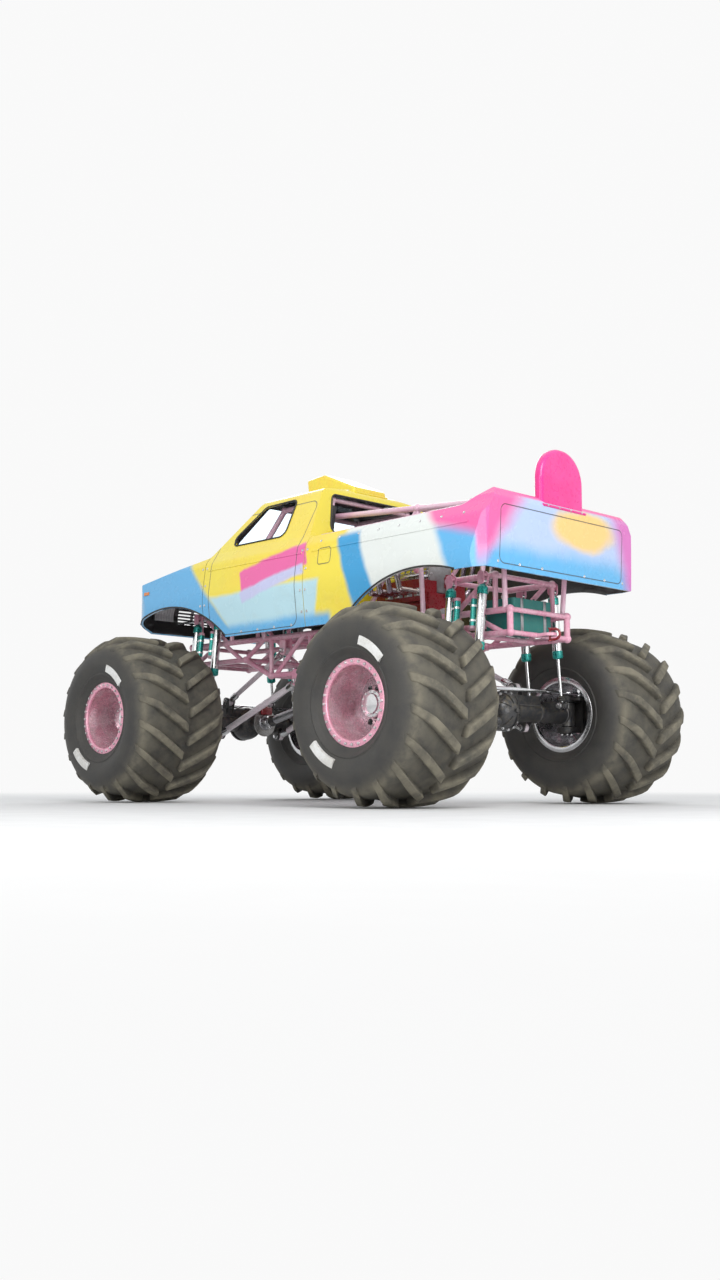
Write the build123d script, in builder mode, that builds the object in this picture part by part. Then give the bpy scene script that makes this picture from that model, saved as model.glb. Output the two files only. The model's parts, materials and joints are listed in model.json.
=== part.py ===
"""A full-size arena monster truck, standing as it parks.

+X points forwards, +Y to the left and +Z up. The origin is on the ground, under the middle of the
wheelbase. Lengths are in millimetres and angles in degrees.
"""

import os
from math import atan2, cos, degrees, radians, sin, tan

from build123d import *

# Driving dimensions: the tyre's size class, the wheelbase and the track
INCH = 25.4
wheelbase = 142 * INCH
track = 107 * INCH
tyre_radius = 33 * INCH
tyre_width = 43 * INCH
rim_radius = 12.5 * INCH
rim_width = 36 * INCH

axle_z = tyre_radius
front_axle_x = wheelbase / 2
rear_axle_x = -wheelbase / 2
half_track = track / 2
ENDS = (("front", front_axle_x, 1), ("rear", rear_axle_x, -1))  # name, axle x, way out of the truck
SIDES = (("left", 1), ("right", -1))  # name, sign of y

# Tyre: half of the carcass, as (distance from the middle, radius), and the chevron lugs on it
CARCASS = ((440, 352), (546, 570), (430, 760))
carcass_sides = 14
lugs_a_side = 18
lug_lean = 33
lug_width = 84
lug_turn = 13.33
LUG_STATIONS = ((18, tyre_radius, 90), (340, 826, 130), (505, 700, 118))  # (distance, tip radius, depth)

# Wheels
bead_half = rim_width / 2 - 17
flange_radius = rim_radius + 28
disc_offset = 60
disc_thickness = 22
disc_hole_radius = 28
disc_hole_circle = 232
disc_holes = 10
barrel_wall = 12
hub_radius = 150
hub_nose_radius = 120
hub_nose_length = 150
hub_inner = -222
spindle_radius = 60
spindle_end = -72
running_gap = 0.05

# Kingpins, knuckles and steering
kingpin_y = 980
kingpin_hub_radius = 80
kingpin_hub_half = 110
kingpin_radius = 25
kingpin_depth = 50
ear_radius = 85
ear_bottom = 118
ear_top = 170
web_inner = 110
web_outer = 152
web_half = 110
arm_length = 150
arm_bottom = 130
arm_top = 165
stud_radius = 14
eye_outer = 32
eye_bottom = 170
eye_top = 206
tie_rod_radius = 19
ram_z = -105
ram_radius = 36
ram_inner_end = 230
ram_outer_end = 620
ram_rod_radius = 16
ram_eye_outer = 46
ram_eye_inner = 33
ram_stud_radius = 9
ram_eye_half = 15

# Axle housings
axle_tube_radius = 90
diff_radius = 180
pinion_radius = 75
pinion_length = 300

# Suspension links: distances from the axle, heights and half-widths
lower_link_axle = (-70, 420, axle_z - 135)
lower_link_frame = (480, 400, 1210)
upper_link_axle = (-50, 280, axle_z + 225)
upper_link_frame = (760, 330, 1545)
link_eye_radius = 40
link_eye_half = 30
lower_link_radius = 32
upper_link_radius = 26

# Shock absorbers: two a side at each axle
shock_offsets = (235, -130)
shock_bottom_y = 600
shock_bottom_z = axle_z + 60
shock_top_y = 490
shock_top_z = 1940
shock_body_radius = 42
shock_rod_radius = 15
shock_eye_radius = 30
shock_eye_half = 22
shock_rod_share = 0.42

# Drop box between the driveshafts, and the engine behind the driver
drop_box_middle = -250
drop_box_half = 200
drop_box_out_z = 1160
engine_front_x = -520
engine_rear_x = -1160
engine_half_width = 230

# Tubular frame
tube_radius = 28
brace_radius = 23
weld_bead = 3
seam_turn = 37  # keeps the surfaces' seams off the planes where tubes meet
rail_y = 400
belly_z = 1290
end_rail_z = 1480
deck_z = 1680
tower_z = 1990
tow_x = 2375
tow_z = 1480
tow_bore = 27
tow_thickness = 26
floor_x = (-290, 1110)

# Body shell
rocker_z = 1640
wall = 22
arch_z = 605
arch_radius = 1405
clip_x = 1190
bed_x = -345
panel_gap = 6
tail_corner_x = -2236
tail_bottom_z = 1950
grille_slats = 5

# Rounded fin over the tailgate, and the engine's open headers
fin_half_width = 300
fin_top = 3090
fin_rounding = 285
fin_back_x = -2540
fin_thickness = 90
header_radius = 27


def tube(start, end, radius=tube_radius, mode=Mode.ADD, short=0):
    """Adds or cuts a round tube between two points, stopping short of both by a distance."""
    start, end = Vector(*start), Vector(*end)
    run = end - start
    with Locations(Location(Plane(origin=(start + end) * 0.5, z_dir=run))):
        Cylinder(radius, run.length - 2 * short, rotation=(0, 0, seam_turn), mode=mode)


def on_side(point, side):
    """A point of the left side, or its mirror image on the right."""
    return (point[0], side * point[1], point[2])


def mirrored_tubes(table, radius=tube_radius, short=0):
    """Adds each tube of a table of (start, end) points, on the left and on the right."""
    for start, end in table:
        for side in (1, -1):
            tube(on_side(start, side), on_side(end, side), radius, short=short)


def bent_tube(points, radius=tube_radius):
    """Adds straight tubes through the points, with a ball at each bend."""
    for point in points[1:-1]:
        ball(point, radius + weld_bead)
    for start, end in zip(points, points[1:]):
        tube(start, end, radius)


def ball(centre, radius=tube_radius + 10, turn=0):
    """Adds the rounded weld where tubes meet."""
    with Locations(tuple(centre)):
        Sphere(radius, rotation=(0, turn, turn))


def slot_plate(eye, anchor, y_low, y_high, width):
    """Adds a flat tab with round ends between two (x, z) points, from y_low to y_high."""
    run = Vector(anchor[0] - eye[0], anchor[1] - eye[1])
    middle = ((eye[0] + anchor[0]) / 2, (eye[1] + anchor[1]) / 2)
    with BuildSketch(Plane.XZ.offset(-y_high)) as outline:
        with Locations(middle):
            SlotCenterToCenter(run.length, width, rotation=degrees(atan2(run.Y, run.X)))
    extrude(outline.sketch, amount=y_high - y_low)


def block(x_range, y_range, z_range, mode=Mode.ADD):
    """Adds or cuts a box given by its lowest and highest x, y and z."""
    spans = [sorted(span) for span in (x_range, y_range, z_range)]
    centre = tuple((low + high) / 2 for low, high in spans)
    with Locations(centre):
        Box(*[high - low for low, high in spans], mode=mode)


def round_bar(centre, radius, length, along, mode=Mode.ADD):
    """Adds or cuts a cylinder with its middle at centre and its axis along a direction."""
    with Locations(Location(Plane(origin=centre, z_dir=along))):
        Cylinder(radius, length, mode=mode)


def wheel_plane(x, side):
    """The half-plane that a wheel's sections lie on: first axis outboard, second axis up."""
    return Plane(origin=(x, side * half_track, axle_z), x_dir=(0, side, 0), z_dir=(side, 0, 0))


def wheel_axis(x):
    """The axis that the wheels at x turn about."""
    return Axis((x, 0, axle_z), (0, 1, 0))


def save(part, name):
    """Labels a finished piece and writes it."""
    part.label = name
    export_step(part, f"parts/{name}.step")


def turns_about_y(count, start):
    """Evenly spaced turns about the Y axis."""
    return [Location((0, 0, 0), (0, start + 360 / count * step, 0)) for step in range(count)]


def make_tyre():
    """A tyre at the origin, on the Y axis: a carcass in flat facets with its chevron lugs."""
    lean = radians(lug_lean)
    middle = (LUG_STATIONS[0][0] + LUG_STATIONS[-1][0]) / 2
    pitch = 360 / lugs_a_side
    # The lug's side view: along the lug, and out from the axle
    tops = []
    roots = []
    for y, radius, depth in LUG_STATIONS:
        along = (y - middle) / cos(lean)
        across = abs(along) * sin(lean) + lug_width / 2 * cos(lean)
        tops.append((along, (radius**2 - across**2) ** 0.5))
        roots.append((along, (radius**2 - across**2) ** 0.5 - depth))
    side_view = Plane(
        origin=(0, middle, 0),
        x_dir=(sin(lean), cos(lean), 0),
        z_dir=(cos(lean), -sin(lean), 0),
    )
    with BuildPart() as lug:
        with BuildSketch(side_view):
            with BuildLine():
                Polyline(*tops, *reversed(roots), close=True)
            make_face()
        extrude(amount=lug_width / 2, both=True)
    # One flat-sided sector of the carcass
    half_section = ((CARCASS[0][0], rim_radius + 0.5),) + CARCASS
    with BuildPart() as sector:
        with BuildSketch(Plane.YZ):
            with BuildLine():
                Polyline(*half_section, *((-y, r) for y, r in reversed(half_section)), close=True)
            make_face()
        extrude(amount=tyre_radius, both=True)
        with BuildSketch(Plane.XZ):
            with BuildLine():
                reach = tyre_radius * tan(radians(180 / carcass_sides))
                Polyline((0, 0), (reach, tyre_radius), (-reach, tyre_radius), close=True)
            make_face()
        extrude(amount=tyre_width, both=True, mode=Mode.INTERSECT)
    with BuildPart() as tyre:
        with Locations(*turns_about_y(carcass_sides, 0)):
            add(sector.part)
        with Locations(*turns_about_y(lugs_a_side, lug_turn)):
            add(lug.part)
        with Locations(*turns_about_y(lugs_a_side, lug_turn + pitch / 2)):
            add(lug.part.mirror(Plane.XZ))
    return tyre.part


def make_rim(x, side):
    """A rim: barrel, two flanges and the deep-set disc with its holes."""
    half = rim_width / 2
    inner = rim_radius - barrel_wall
    barrel = [
        (-half, inner),
        (half, inner),
        (half, flange_radius),
        (bead_half + 1, flange_radius),
        (bead_half + 1, rim_radius),
        (-bead_half - 1, rim_radius),
        (-bead_half - 1, flange_radius),
        (-half, flange_radius),
    ]
    disc = [
        (disc_offset, hub_nose_radius + 0.5),
        (disc_offset + disc_thickness, hub_nose_radius + 0.5),
        (disc_offset + disc_thickness, inner + 2),
        (disc_offset, inner + 2),
    ]
    with BuildPart() as rim:
        for outline in (barrel, disc):
            with BuildSketch(wheel_plane(x, side)):
                with BuildLine():
                    Polyline(*outline, close=True)
                make_face()
            revolve(axis=wheel_axis(x))
        face_y = side * (half_track + disc_offset + disc_thickness / 2)
        for turn in range(disc_holes):
            angle = radians(360 * turn / disc_holes)
            hole = (x + disc_hole_circle * cos(angle), face_y, axle_z + disc_hole_circle * sin(angle))
            round_bar(hole, disc_hole_radius, 2 * disc_thickness, (0, 1, 0), Mode.SUBTRACT)
    return rim.part


def make_hub(x, side):
    """A planetary hub: the drum inboard of the disc, its nose outboard and the bore for the spindle."""
    bore = spindle_radius + running_gap
    outline = [
        (hub_inner, bore),
        (spindle_end + 6, bore),
        (spindle_end + 6, 0),
        (disc_offset + disc_thickness + hub_nose_length, 0),
        (disc_offset + disc_thickness + hub_nose_length, 70),
        (disc_offset + disc_thickness + hub_nose_length - 30, hub_nose_radius),
        (disc_offset, hub_nose_radius),
        (disc_offset, hub_radius),
        (hub_inner, hub_radius),
    ]
    with BuildPart() as hub:
        with BuildSketch(wheel_plane(x, side)):
            with BuildLine():
                Polyline(*outline, close=True)
            make_face()
        revolve(axis=wheel_axis(x))
    return hub.part


def make_knuckle(x, side, out):
    """A steering knuckle: two ears and kingpins, the outboard web, the spindle and its arms."""
    y = side * kingpin_y
    with BuildPart() as knuckle:
        for up in (1, -1):
            middle = axle_z + up * (ear_bottom + ear_top) / 2
            round_bar((x, y, middle), ear_radius, ear_top - ear_bottom, (0, 0, 1))
            block(
                (x - ear_radius, x + ear_radius),
                (y, y + side * web_outer),
                (axle_z + up * ear_bottom, axle_z + up * ear_top),
            )
            pin_middle = axle_z + up * (ear_bottom - kingpin_depth / 2)
            round_bar((x, y, pin_middle), kingpin_radius, kingpin_depth, (0, 0, 1))
        block(
            (x - web_half, x + web_half),
            (y + side * web_inner, y + side * web_outer),
            (axle_z - ear_top, axle_z + ear_top),
        )
        spindle_start = y + side * web_outer
        spindle_stop = side * (half_track + spindle_end)
        middle_y = (spindle_start + spindle_stop) / 2
        round_bar((x, middle_y, axle_z), spindle_radius, abs(spindle_stop - spindle_start), (0, 1, 0))
        # The upper arm carries the tie rod
        tip = x + out * arm_length
        block((x, tip), (y - 30, y + 30), (axle_z + arm_bottom, axle_z + arm_top))
        round_bar((tip, y, axle_z + (arm_bottom + arm_top) / 2), 30, arm_top - arm_bottom, (0, 0, 1))
        stud_middle = axle_z + (arm_top + eye_top + 6) / 2
        round_bar((tip, y, stud_middle), stud_radius, eye_top + 6 - arm_top, (0, 0, 1))
        # The left knuckle's lower arm takes the ram's rod
        if side == 1:
            block((x, tip), (y - 30, y + 30), (axle_z - arm_top, axle_z - arm_bottom))
            round_bar((tip, y, axle_z - (arm_bottom + arm_top) / 2), 30, arm_top - arm_bottom, (0, 0, 1))
            stud_end = ram_z + ram_eye_half + 4
            stud_middle = axle_z + (stud_end - arm_bottom) / 2
            round_bar((tip, y, stud_middle), ram_stud_radius, stud_end + arm_bottom, (0, 0, 1))
    return knuckle.part


def make_tie_rod(x, out):
    """A tie rod with an eye on each knuckle's upper arm."""
    rod_x = x + out * arm_length
    rod_z = axle_z + (eye_bottom + eye_top) / 2
    with BuildPart() as tie_rod:
        tube((rod_x, -kingpin_y, rod_z), (rod_x, kingpin_y, rod_z), tie_rod_radius)
        for side in (1, -1):
            round_bar((rod_x, side * kingpin_y, rod_z), eye_outer, eye_top - eye_bottom, (0, 0, 1))
        for side in (1, -1):
            eye_middle = (rod_x, side * kingpin_y, rod_z)
            round_bar(eye_middle, stud_radius + 0.3, 2 * eye_outer, (0, 0, 1), Mode.SUBTRACT)
    return tie_rod.part


def make_ram_rod(x, out):
    """The chromed rod of a steering ram, with the wide eye over the knuckle's stud."""
    rod_x, rod_z = x + out * arm_length, axle_z + ram_z
    with BuildPart() as rod:
        rod_stop = kingpin_y - ram_eye_inner - 5
        tube((rod_x, ram_inner_end + 120, rod_z), (rod_x, rod_stop, rod_z), ram_rod_radius - running_gap)
        round_bar((rod_x, kingpin_y, rod_z), ram_eye_outer, 2 * ram_eye_half, (0, 0, 1))
        round_bar((rod_x, kingpin_y, rod_z), ram_eye_inner, 4 * ram_eye_half, (0, 0, 1), Mode.SUBTRACT)
    return rod.part


def make_steering_rams():
    """The two steering rams' barrels, bored for their rods."""
    with BuildPart() as rams:
        for _, x, out in ENDS:
            ram_x, z = x + out * arm_length, axle_z + ram_z
            tube((ram_x, ram_inner_end, z), (ram_x, ram_outer_end, z), ram_radius)
        for _, x, out in ENDS:
            ram_x, z = x + out * arm_length, axle_z + ram_z
            middle = (ram_x, (ram_inner_end + 15 + ram_outer_end + 10) / 2, z)
            bore_length = ram_outer_end + 10 - ram_inner_end - 15
            round_bar(middle, ram_rod_radius, bore_length, (0, 1, 0), Mode.SUBTRACT)
    return rams.part


def make_axle(x, out):
    """An axle housing: tubes, differential, pinion nose, truss, brackets and the kingpin hubs."""
    with BuildPart() as axle:
        tube((x, -kingpin_y + 60, axle_z), (x, kingpin_y - 60, axle_z), axle_tube_radius)
        with Locations((x, 0, axle_z)):
            Sphere(diff_radius)
        tube((x, 0, axle_z), (x - out * pinion_length, 0, axle_z), pinion_radius)
        round_bar((x - out * (pinion_length - 15), 0, axle_z), pinion_radius + 20, 30, (1, 0, 0))
        block((x - 70, x + 60), (-500, 500), (axle_z + 60, axle_z + 150))
        for side in (1, -1):
            y = side * kingpin_y
            round_bar((x, y, axle_z), kingpin_hub_radius, 2 * kingpin_hub_half, (0, 0, 1))
            # Upper and lower link clevises
            for eye, anchor_z in ((upper_link_axle, axle_z + 110), (lower_link_axle, axle_z - 30)):
                eye_x, eye_y = x + out * eye[0], side * eye[1]
                for low in (eye_y - link_eye_half - 16, eye_y + link_eye_half):
                    slot_plate((eye_x, eye[2]), (x - out * 30, anchor_z), low, low + 16, 90)
            # Shock brackets: a plate on each side of the eyes
            for low in (shock_bottom_y - shock_eye_half - 16, shock_bottom_y + shock_eye_half):
                y_low, y_high = sorted((side * low, side * (low + 16)))
                first, last = [(x + out * offset, shock_bottom_z) for offset in shock_offsets]
                slot_plate(first, last, y_low, y_high, 80)
        for side in (1, -1):
            for up in (1, -1):
                pin_middle = axle_z + up * (kingpin_hub_half + 5 - kingpin_depth / 2)
                centre = (x, side * kingpin_y, pin_middle)
                round_bar(centre, kingpin_radius + running_gap, kingpin_depth + 10, (0, 0, 1), Mode.SUBTRACT)
        # Clamps that hold the steering ram
        ram_x, z = x + out * arm_length, axle_z + ram_z
        for y in (ram_inner_end + 45, ram_outer_end - 75):
            slot_plate((ram_x, z), (x, axle_z), y - 12, y + 12, 110)
        middle_y = (ram_inner_end + ram_outer_end) / 2
        round_bar((ram_x, middle_y, z), ram_radius + 0.2, 500, (0, 1, 0), Mode.SUBTRACT)
    return axle.part


def make_links(x, out):
    """The four suspension links of one axle, each a tube with an eye at both ends."""
    pairs = (
        (lower_link_axle, lower_link_frame, lower_link_radius),
        (upper_link_axle, upper_link_frame, upper_link_radius),
    )
    with BuildPart() as links:
        for side in (1, -1):
            for axle_end, frame_end, radius in pairs:
                start = (x + out * axle_end[0], side * axle_end[1], axle_end[2])
                end = (out * frame_end[0], side * frame_end[1], frame_end[2])
                tube(start, end, radius)
                for point in (start, end):
                    round_bar(point, link_eye_radius, 2 * link_eye_half, (0, 1, 0))
                    # The eyes' side faces stay flat against their clevises
                    for face in (1, -1):
                        y_in = point[1] + face * link_eye_half
                        block(
                            (point[0] - 90, point[0] + 90),
                            (y_in, y_in + face * 30),
                            (point[2] - 90, point[2] + 90),
                            Mode.SUBTRACT,
                        )
    return links.part


def make_shocks(x, out):
    """Four shock absorbers, each with its body above, its rod below and an eye at both ends."""
    with BuildPart() as shocks:
        for side in (1, -1):
            for offset in shock_offsets:
                low = Vector(x + out * offset, side * shock_bottom_y, shock_bottom_z)
                high = Vector(x + out * offset, side * shock_top_y, shock_top_z)
                joint = low + (high - low) * shock_rod_share
                shoulder = low + (high - low) * 0.95
                tube(low, joint, shock_rod_radius)
                tube(joint, shoulder, shock_body_radius)
                tube(shoulder, high, shock_rod_radius)
                for point in (low, high):
                    round_bar(point, shock_eye_radius, 2 * shock_eye_half, (0, 1, 0))
    return shocks.part


def make_driveshafts():
    """The two driveshafts, from the drop box's outputs to the axles' pinions."""
    with BuildPart() as shafts:
        for _, x, out in ENDS:
            yoke = (x - out * (pinion_length + 90), 0, axle_z)
            case_x = drop_box_middle + out * drop_box_half
            joint = (case_x + out * 90, 0, drop_box_out_z)
            tube((x - out * pinion_length, 0, axle_z), yoke, 38)
            tube(yoke, joint, 45)
            tube((case_x, 0, drop_box_out_z), joint, 38)
            ball(yoke, 55)
            ball(joint, 55)
    return shafts.part


def make_frame():
    """The lower frame: belly rails, end rails, deck rails, trusses and shock towers."""
    belly, ramp, tail = 900, 1320, 2260
    rails, braces, corners = [], [], []
    for way in (1, -1):
        # Rails from corner to corner, each as (start, end)
        rails += [
            ((way * belly, rail_y, belly_z), (way * ramp, rail_y, end_rail_z)),
            ((way * ramp, rail_y, end_rail_z), (way * tail, rail_y, end_rail_z)),
            ((way * tail, rail_y, end_rail_z), (way * tail, rail_y, deck_z)),
            ((way * 1560, rail_y, tower_z), (way * 2100, rail_y, tower_z)),
        ]
        corners += [
            (way * belly, rail_y, belly_z),
            (way * ramp, rail_y, end_rail_z),
            (way * tail, rail_y, end_rail_z),
            (way * tail, rail_y, deck_z),
            (way * 1560, rail_y, tower_z),
            (way * 2100, rail_y, tower_z),
        ]
        # Thinner braces between the rails
        braces += [
            ((way * ramp, rail_y, end_rail_z), (way * (belly + 110), rail_y, deck_z)),
            ((way * (ramp + 60), rail_y, end_rail_z), (way * 1700, rail_y, deck_z)),
            ((way * (tail - 70), rail_y, end_rail_z), (way * 1790, rail_y, deck_z)),
            ((way * belly, rail_y, belly_z), (way * belly, rail_y, deck_z)),
            ((way * (belly - 70), rail_y, belly_z), (way * 390, rail_y, deck_z)),
            ((way * 300, rail_y, belly_z), (way * 300, rail_y, deck_z)),
            ((way * 1560, rail_y, deck_z), (way * 1560, rail_y, tower_z)),
            ((way * 2100, rail_y, deck_z), (way * 2100, rail_y, tower_z)),
            ((way * 1625, rail_y, deck_z), (way * 2035, rail_y, tower_z)),
        ]
    rails += [
        ((-belly, rail_y, belly_z), (belly, rail_y, belly_z)),
        ((-tail, rail_y, deck_z), (tail, rail_y, deck_z)),
    ]
    # Cross tubes: (x, height)
    cross_tubes = [
        (way * x, z)
        for way in (1, -1)
        for x, z in (
            (tail, end_rail_z),
            (tail, deck_z),
            (1880, end_rail_z),
            (ramp, end_rail_z),
            (belly, belly_z),
            (560, belly_z),
            (1560, tower_z),
            (2100, tower_z),
        )
    ]
    cross_tubes += [(560, deck_z), (1080, deck_z), (-300, deck_z)]
    # One side's truss, with its clevises; the other side is its mirror image
    with BuildPart() as truss:
        for point in corners:
            ball(point, turn=seam_turn)
        for start, end in rails:
            tube(start, end, short=20)
        for start, end in braces:
            tube(start, end, brace_radius, short=10)
        for way in (1, -1):
            # Clevises for the links, with saddles that join them to the rails
            for eye, anchor_z in ((lower_link_frame, belly_z), (upper_link_frame, deck_z - 32)):
                for low in (eye[1] - link_eye_half - 16, eye[1] + link_eye_half):
                    slot_plate((way * eye[0], eye[2]), (way * eye[0], anchor_z), low, low + 16, 90)
            saddle_y = (upper_link_frame[1] - link_eye_half - 8, rail_y)
            block((way * 730, way * 790), saddle_y, (deck_z - 24, deck_z - 4))
            saddle_y = (rail_y - link_eye_half - 8, rail_y + link_eye_half + 8)
            block((way * 450, way * 510), saddle_y, (belly_z - 12, belly_z + 8))
            # Clevises for the shocks' upper eyes
            for offset in shock_offsets:
                eye_x = way * (front_axle_x + offset)
                for low in (shock_top_y - shock_eye_half - 12, shock_top_y + shock_eye_half):
                    slot_plate((eye_x, shock_top_z), (eye_x, tower_z), low, low + 12, 70)
                ledge_y = (rail_y, shock_top_y + shock_eye_half + 6)
                block((eye_x - 25, eye_x + 25), ledge_y, (tower_z - 12, tower_z + 12))
    with BuildPart() as frame:
        add(truss.part)
        mirror(truss.part, about=Plane.XZ)
        for x, z in cross_tubes:
            tube((x, -rail_y, z), (x, rail_y, z), brace_radius, short=10)
        for way in (1, -1):
            # Tow tongue: a flat plate with an upright hole
            with BuildSketch(Plane.XY.offset(tow_z - tow_thickness / 2)) as tongue:
                with Locations((way * (tow_x + tail) / 2, 0)):
                    SlotCenterToCenter(tow_x - tail, 130)
            extrude(tongue.sketch, amount=tow_thickness)
            round_bar((way * tow_x, 0, tow_z), tow_bore, 60, (0, 0, 1), Mode.SUBTRACT)
        # The cab's floor
        block((floor_x[0], floor_x[1]), (-rail_y, rail_y), (deck_z + 6, deck_z + 14))
    return frame.part


def cut_rails():
    """Cuts the deck rails' room from a cage that stands on them."""
    for side in (1, -1):
        tube((-2400, side * rail_y, deck_z), (2400, side * rail_y, deck_z), tube_radius, Mode.SUBTRACT)


def make_cab_cage():
    """The roll cage round the driver: main hoop, windscreen hoop, roof rails and door bars."""
    hoop_x, screen_x, foot_x = -150, 560, 1000
    waist = (600, 2395)
    roof = (520, 2950)
    corners = [(hoop_x, *waist), (hoop_x, *roof), (screen_x, *roof), (foot_x, *waist)]
    with BuildPart() as cage:
        for corner in corners:
            for side in (1, -1):
                ball(on_side(corner, side))
        mirrored_tubes(list(zip(corners, corners[1:])) + [(corners[3], corners[0])], short=20)
        mirrored_tubes(
            [
                ((hoop_x, rail_y, deck_z - 20), (hoop_x, *waist)),
                ((foot_x, rail_y, deck_z - 20), (foot_x, *waist)),
            ],
            short=20,
        )
        mirrored_tubes([((hoop_x, 505, 2060), (foot_x, 505, 2060))], brace_radius, 10)
        for x, y, z in corners:
            tube((x, -y, z), (x, y, z), brace_radius, short=10)
        cut_rails()
        block(floor_x, (-rail_y, rail_y), (deck_z + 6, deck_z + 14), Mode.SUBTRACT)
    return cage.part


def make_bed_cage(cab_cage):
    """The rear cage over the bed: the two top rails, their posts and braces."""
    top_front, top_middle, top_rear = (-120, 470, 2790), (-1250, 470, 2700), (-2240, 470, 2620)
    with BuildPart() as cage:
        for point in (top_middle, top_rear):
            for side in (1, -1):
                ball(on_side(point, side))
        mirrored_tubes([(top_middle, top_rear)], short=20)
        mirrored_tubes([(top_front, top_middle)], short=20)
        mirrored_tubes(
            [
                (top_rear, (-2210, rail_y, deck_z - 10)),
                (top_middle, (-1250, rail_y, deck_z - 10)),
                (top_middle, (-410, rail_y, deck_z - 10)),
            ],
            brace_radius,
            10,
        )
        for x, y, z in (top_middle, top_rear):
            tube((x, -y, z), (x, y, z), brace_radius, short=10)
        cut_rails()
        add(cab_cage, mode=Mode.SUBTRACT)
    return cage.part


# The shell's three outlines: corners as (along, up or across) with the radius of each
SIDE_OUTLINE = (
    ((2440, 1400), 0),
    ((2540, 2060), 250),
    ((2410, 2300), 280),
    ((1180, 2480), 90),
    ((640, 3060), 160),
    ((-190, 3090), 110),
    ((-330, 2490), 40),
    ((-2230, 2500), 250),
    ((-2510, 2640), 40),
    ((-2560, 2540), 50),
    ((-2500, 1400), 0),
)
FRONT_OUTLINE = (
    ((1010, 1400), 0),
    ((1085, 2050), 700),
    ((1040, 2400), 120),
    ((965, 2515), 120),
    ((690, 3035), 120),
    ((0, 3112), 0),
)
# The tail's rounded upper corners
TAIL_OUTLINE = (
    ((1300, 2300), 0),
    ((1060, 2440), 0),
    ((850, 2655), 130),
    ((0, 2675), 0),
)
# Grille, left lamp and right lamp: (y range, z range) of the openings in the nose
NOSE_OPENINGS = (
    ((-430, 430), (1960, 2140)),
    ((500, 760), (1980, 2130)),
    ((-760, -500), (1980, 2130)),
)
PLAN_OUTLINE = (
    ((2560, 0), 0),
    ((2560, 680), 240),
    ((2360, 1070), 280),
    ((1600, 1110), 0),
    ((-2330, 1110), 160),
    ((-2570, 1010), 80),
    ((-2570, 0), 0),
)


def closed_outline(corners):
    """The face inside rounded corners, given as ((a, b), radius) in order."""
    points = [point for point, _ in corners]
    with BuildSketch() as outline:
        with BuildLine():
            Polyline(*points, close=True)
        make_face()
        for point, radius in corners:
            if radius:
                nearest = outline.vertices().sort_by_distance((*point, 0))[0]
                fillet(nearest, radius)
    return outline.sketch


def mirrored_corners(corners, axis):
    """The corners of a half outline followed by their mirror images, without the repeats on the axis."""
    others = []
    for (a, b), radius in reversed(corners):
        image = (-a, b) if axis == "a" else (a, -b)
        if image != (a, b):
            others.append((image, radius))
    return list(corners) + others


def shell_body(inset):
    """The body's outer form, or the hollow inside it when inset by the wall."""
    outlines = (
        (Plane.XZ, closed_outline(SIDE_OUTLINE), Mode.ADD),
        (Plane.YZ, closed_outline(mirrored_corners(FRONT_OUTLINE, "a")), Mode.INTERSECT),
        (Plane.XY, closed_outline(mirrored_corners(PLAN_OUTLINE, "b")), Mode.INTERSECT),
    )
    with BuildPart() as body:
        for plane, outline, mode in outlines:
            with BuildSketch(plane):
                add(outline)
                if inset:
                    offset(amount=-inset, kind=Kind.INTERSECTION)
            extrude(amount=3400, both=True, mode=mode)
        # The tail's upper corners are rounder than the cab's sides
        with BuildPart(mode=Mode.PRIVATE) as corners:
            block((-2700, tail_corner_x), (-1300, 1300), (2300, 2800))
            with BuildSketch(Plane.YZ.offset(-2700)) as keep:
                add(closed_outline(mirrored_corners(TAIL_OUTLINE, "a")))
                if inset:
                    offset(amount=-inset, kind=Kind.INTERSECTION)
            extrude(keep.sketch, amount=tail_corner_x + 2700, mode=Mode.SUBTRACT)
        add(corners.part, mode=Mode.SUBTRACT)
    return body.part


def windscreen_opening():
    """The prism that is cut from the shell for the windscreen."""
    corners = (((-790, 2570), 60), ((-610, 2985), 60), ((610, 2985), 60), ((790, 2570), 60))
    with BuildPart() as opening:
        with BuildSketch(Plane.YZ.offset(620)):
            add(closed_outline(corners))
        extrude(amount=780)
    return opening.part


def make_shell(outer, hollow):
    """The whole body shell with its openings, before it is parted into panels."""
    with BuildPart() as shell:
        add(outer)
        add(hollow, mode=Mode.SUBTRACT)
        # The bulkhead behind the driver
        with BuildPart(mode=Mode.PRIVATE) as bulkhead:
            add(hollow)
            block((bed_x + 6, bed_x + 6 + wall), (-1200, 1200), (deck_z + 40, 2500), Mode.INTERSECT)
        add(bulkhead.part)
        block((-2700, 2700), (-1200, 1200), (1300, rocker_z), Mode.SUBTRACT)
        for _, x, _ in ENDS:
            round_bar((x, 0, arch_z), arch_radius, 2400, (0, 1, 0), Mode.SUBTRACT)
        block((-2700, rear_axle_x), (-1200, 1200), (1300, tail_bottom_z), Mode.SUBTRACT)
        # The open bed
        block((-2390, -420), (-915, 915), (2300, 2800), Mode.SUBTRACT)
        # Side windows
        window = (((960, 2570), 60), ((580, 2945), 60), ((130, 2955), 60), ((90, 2570), 60))
        with BuildSketch(Plane.XZ) as side_glass:
            add(closed_outline(window))
        extrude(side_glass.sketch, amount=1200, both=True, mode=Mode.SUBTRACT)
        add(windscreen_opening(), mode=Mode.SUBTRACT)
        # The rear window, which the bed cage's rails pass through
        corners = (((-680, 2580), 60), ((-570, 2980), 60), ((570, 2980), 60), ((680, 2580), 60))
        with BuildSketch(Plane.YZ.offset(-600)) as rear_glass:
            add(closed_outline(corners))
        extrude(rear_glass.sketch, amount=540, mode=Mode.SUBTRACT)
        # The grille and the headlamps
        for y_range, z_range in NOSE_OPENINGS:
            block((2300, 2700), y_range, z_range, Mode.SUBTRACT)
    return shell.part


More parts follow.
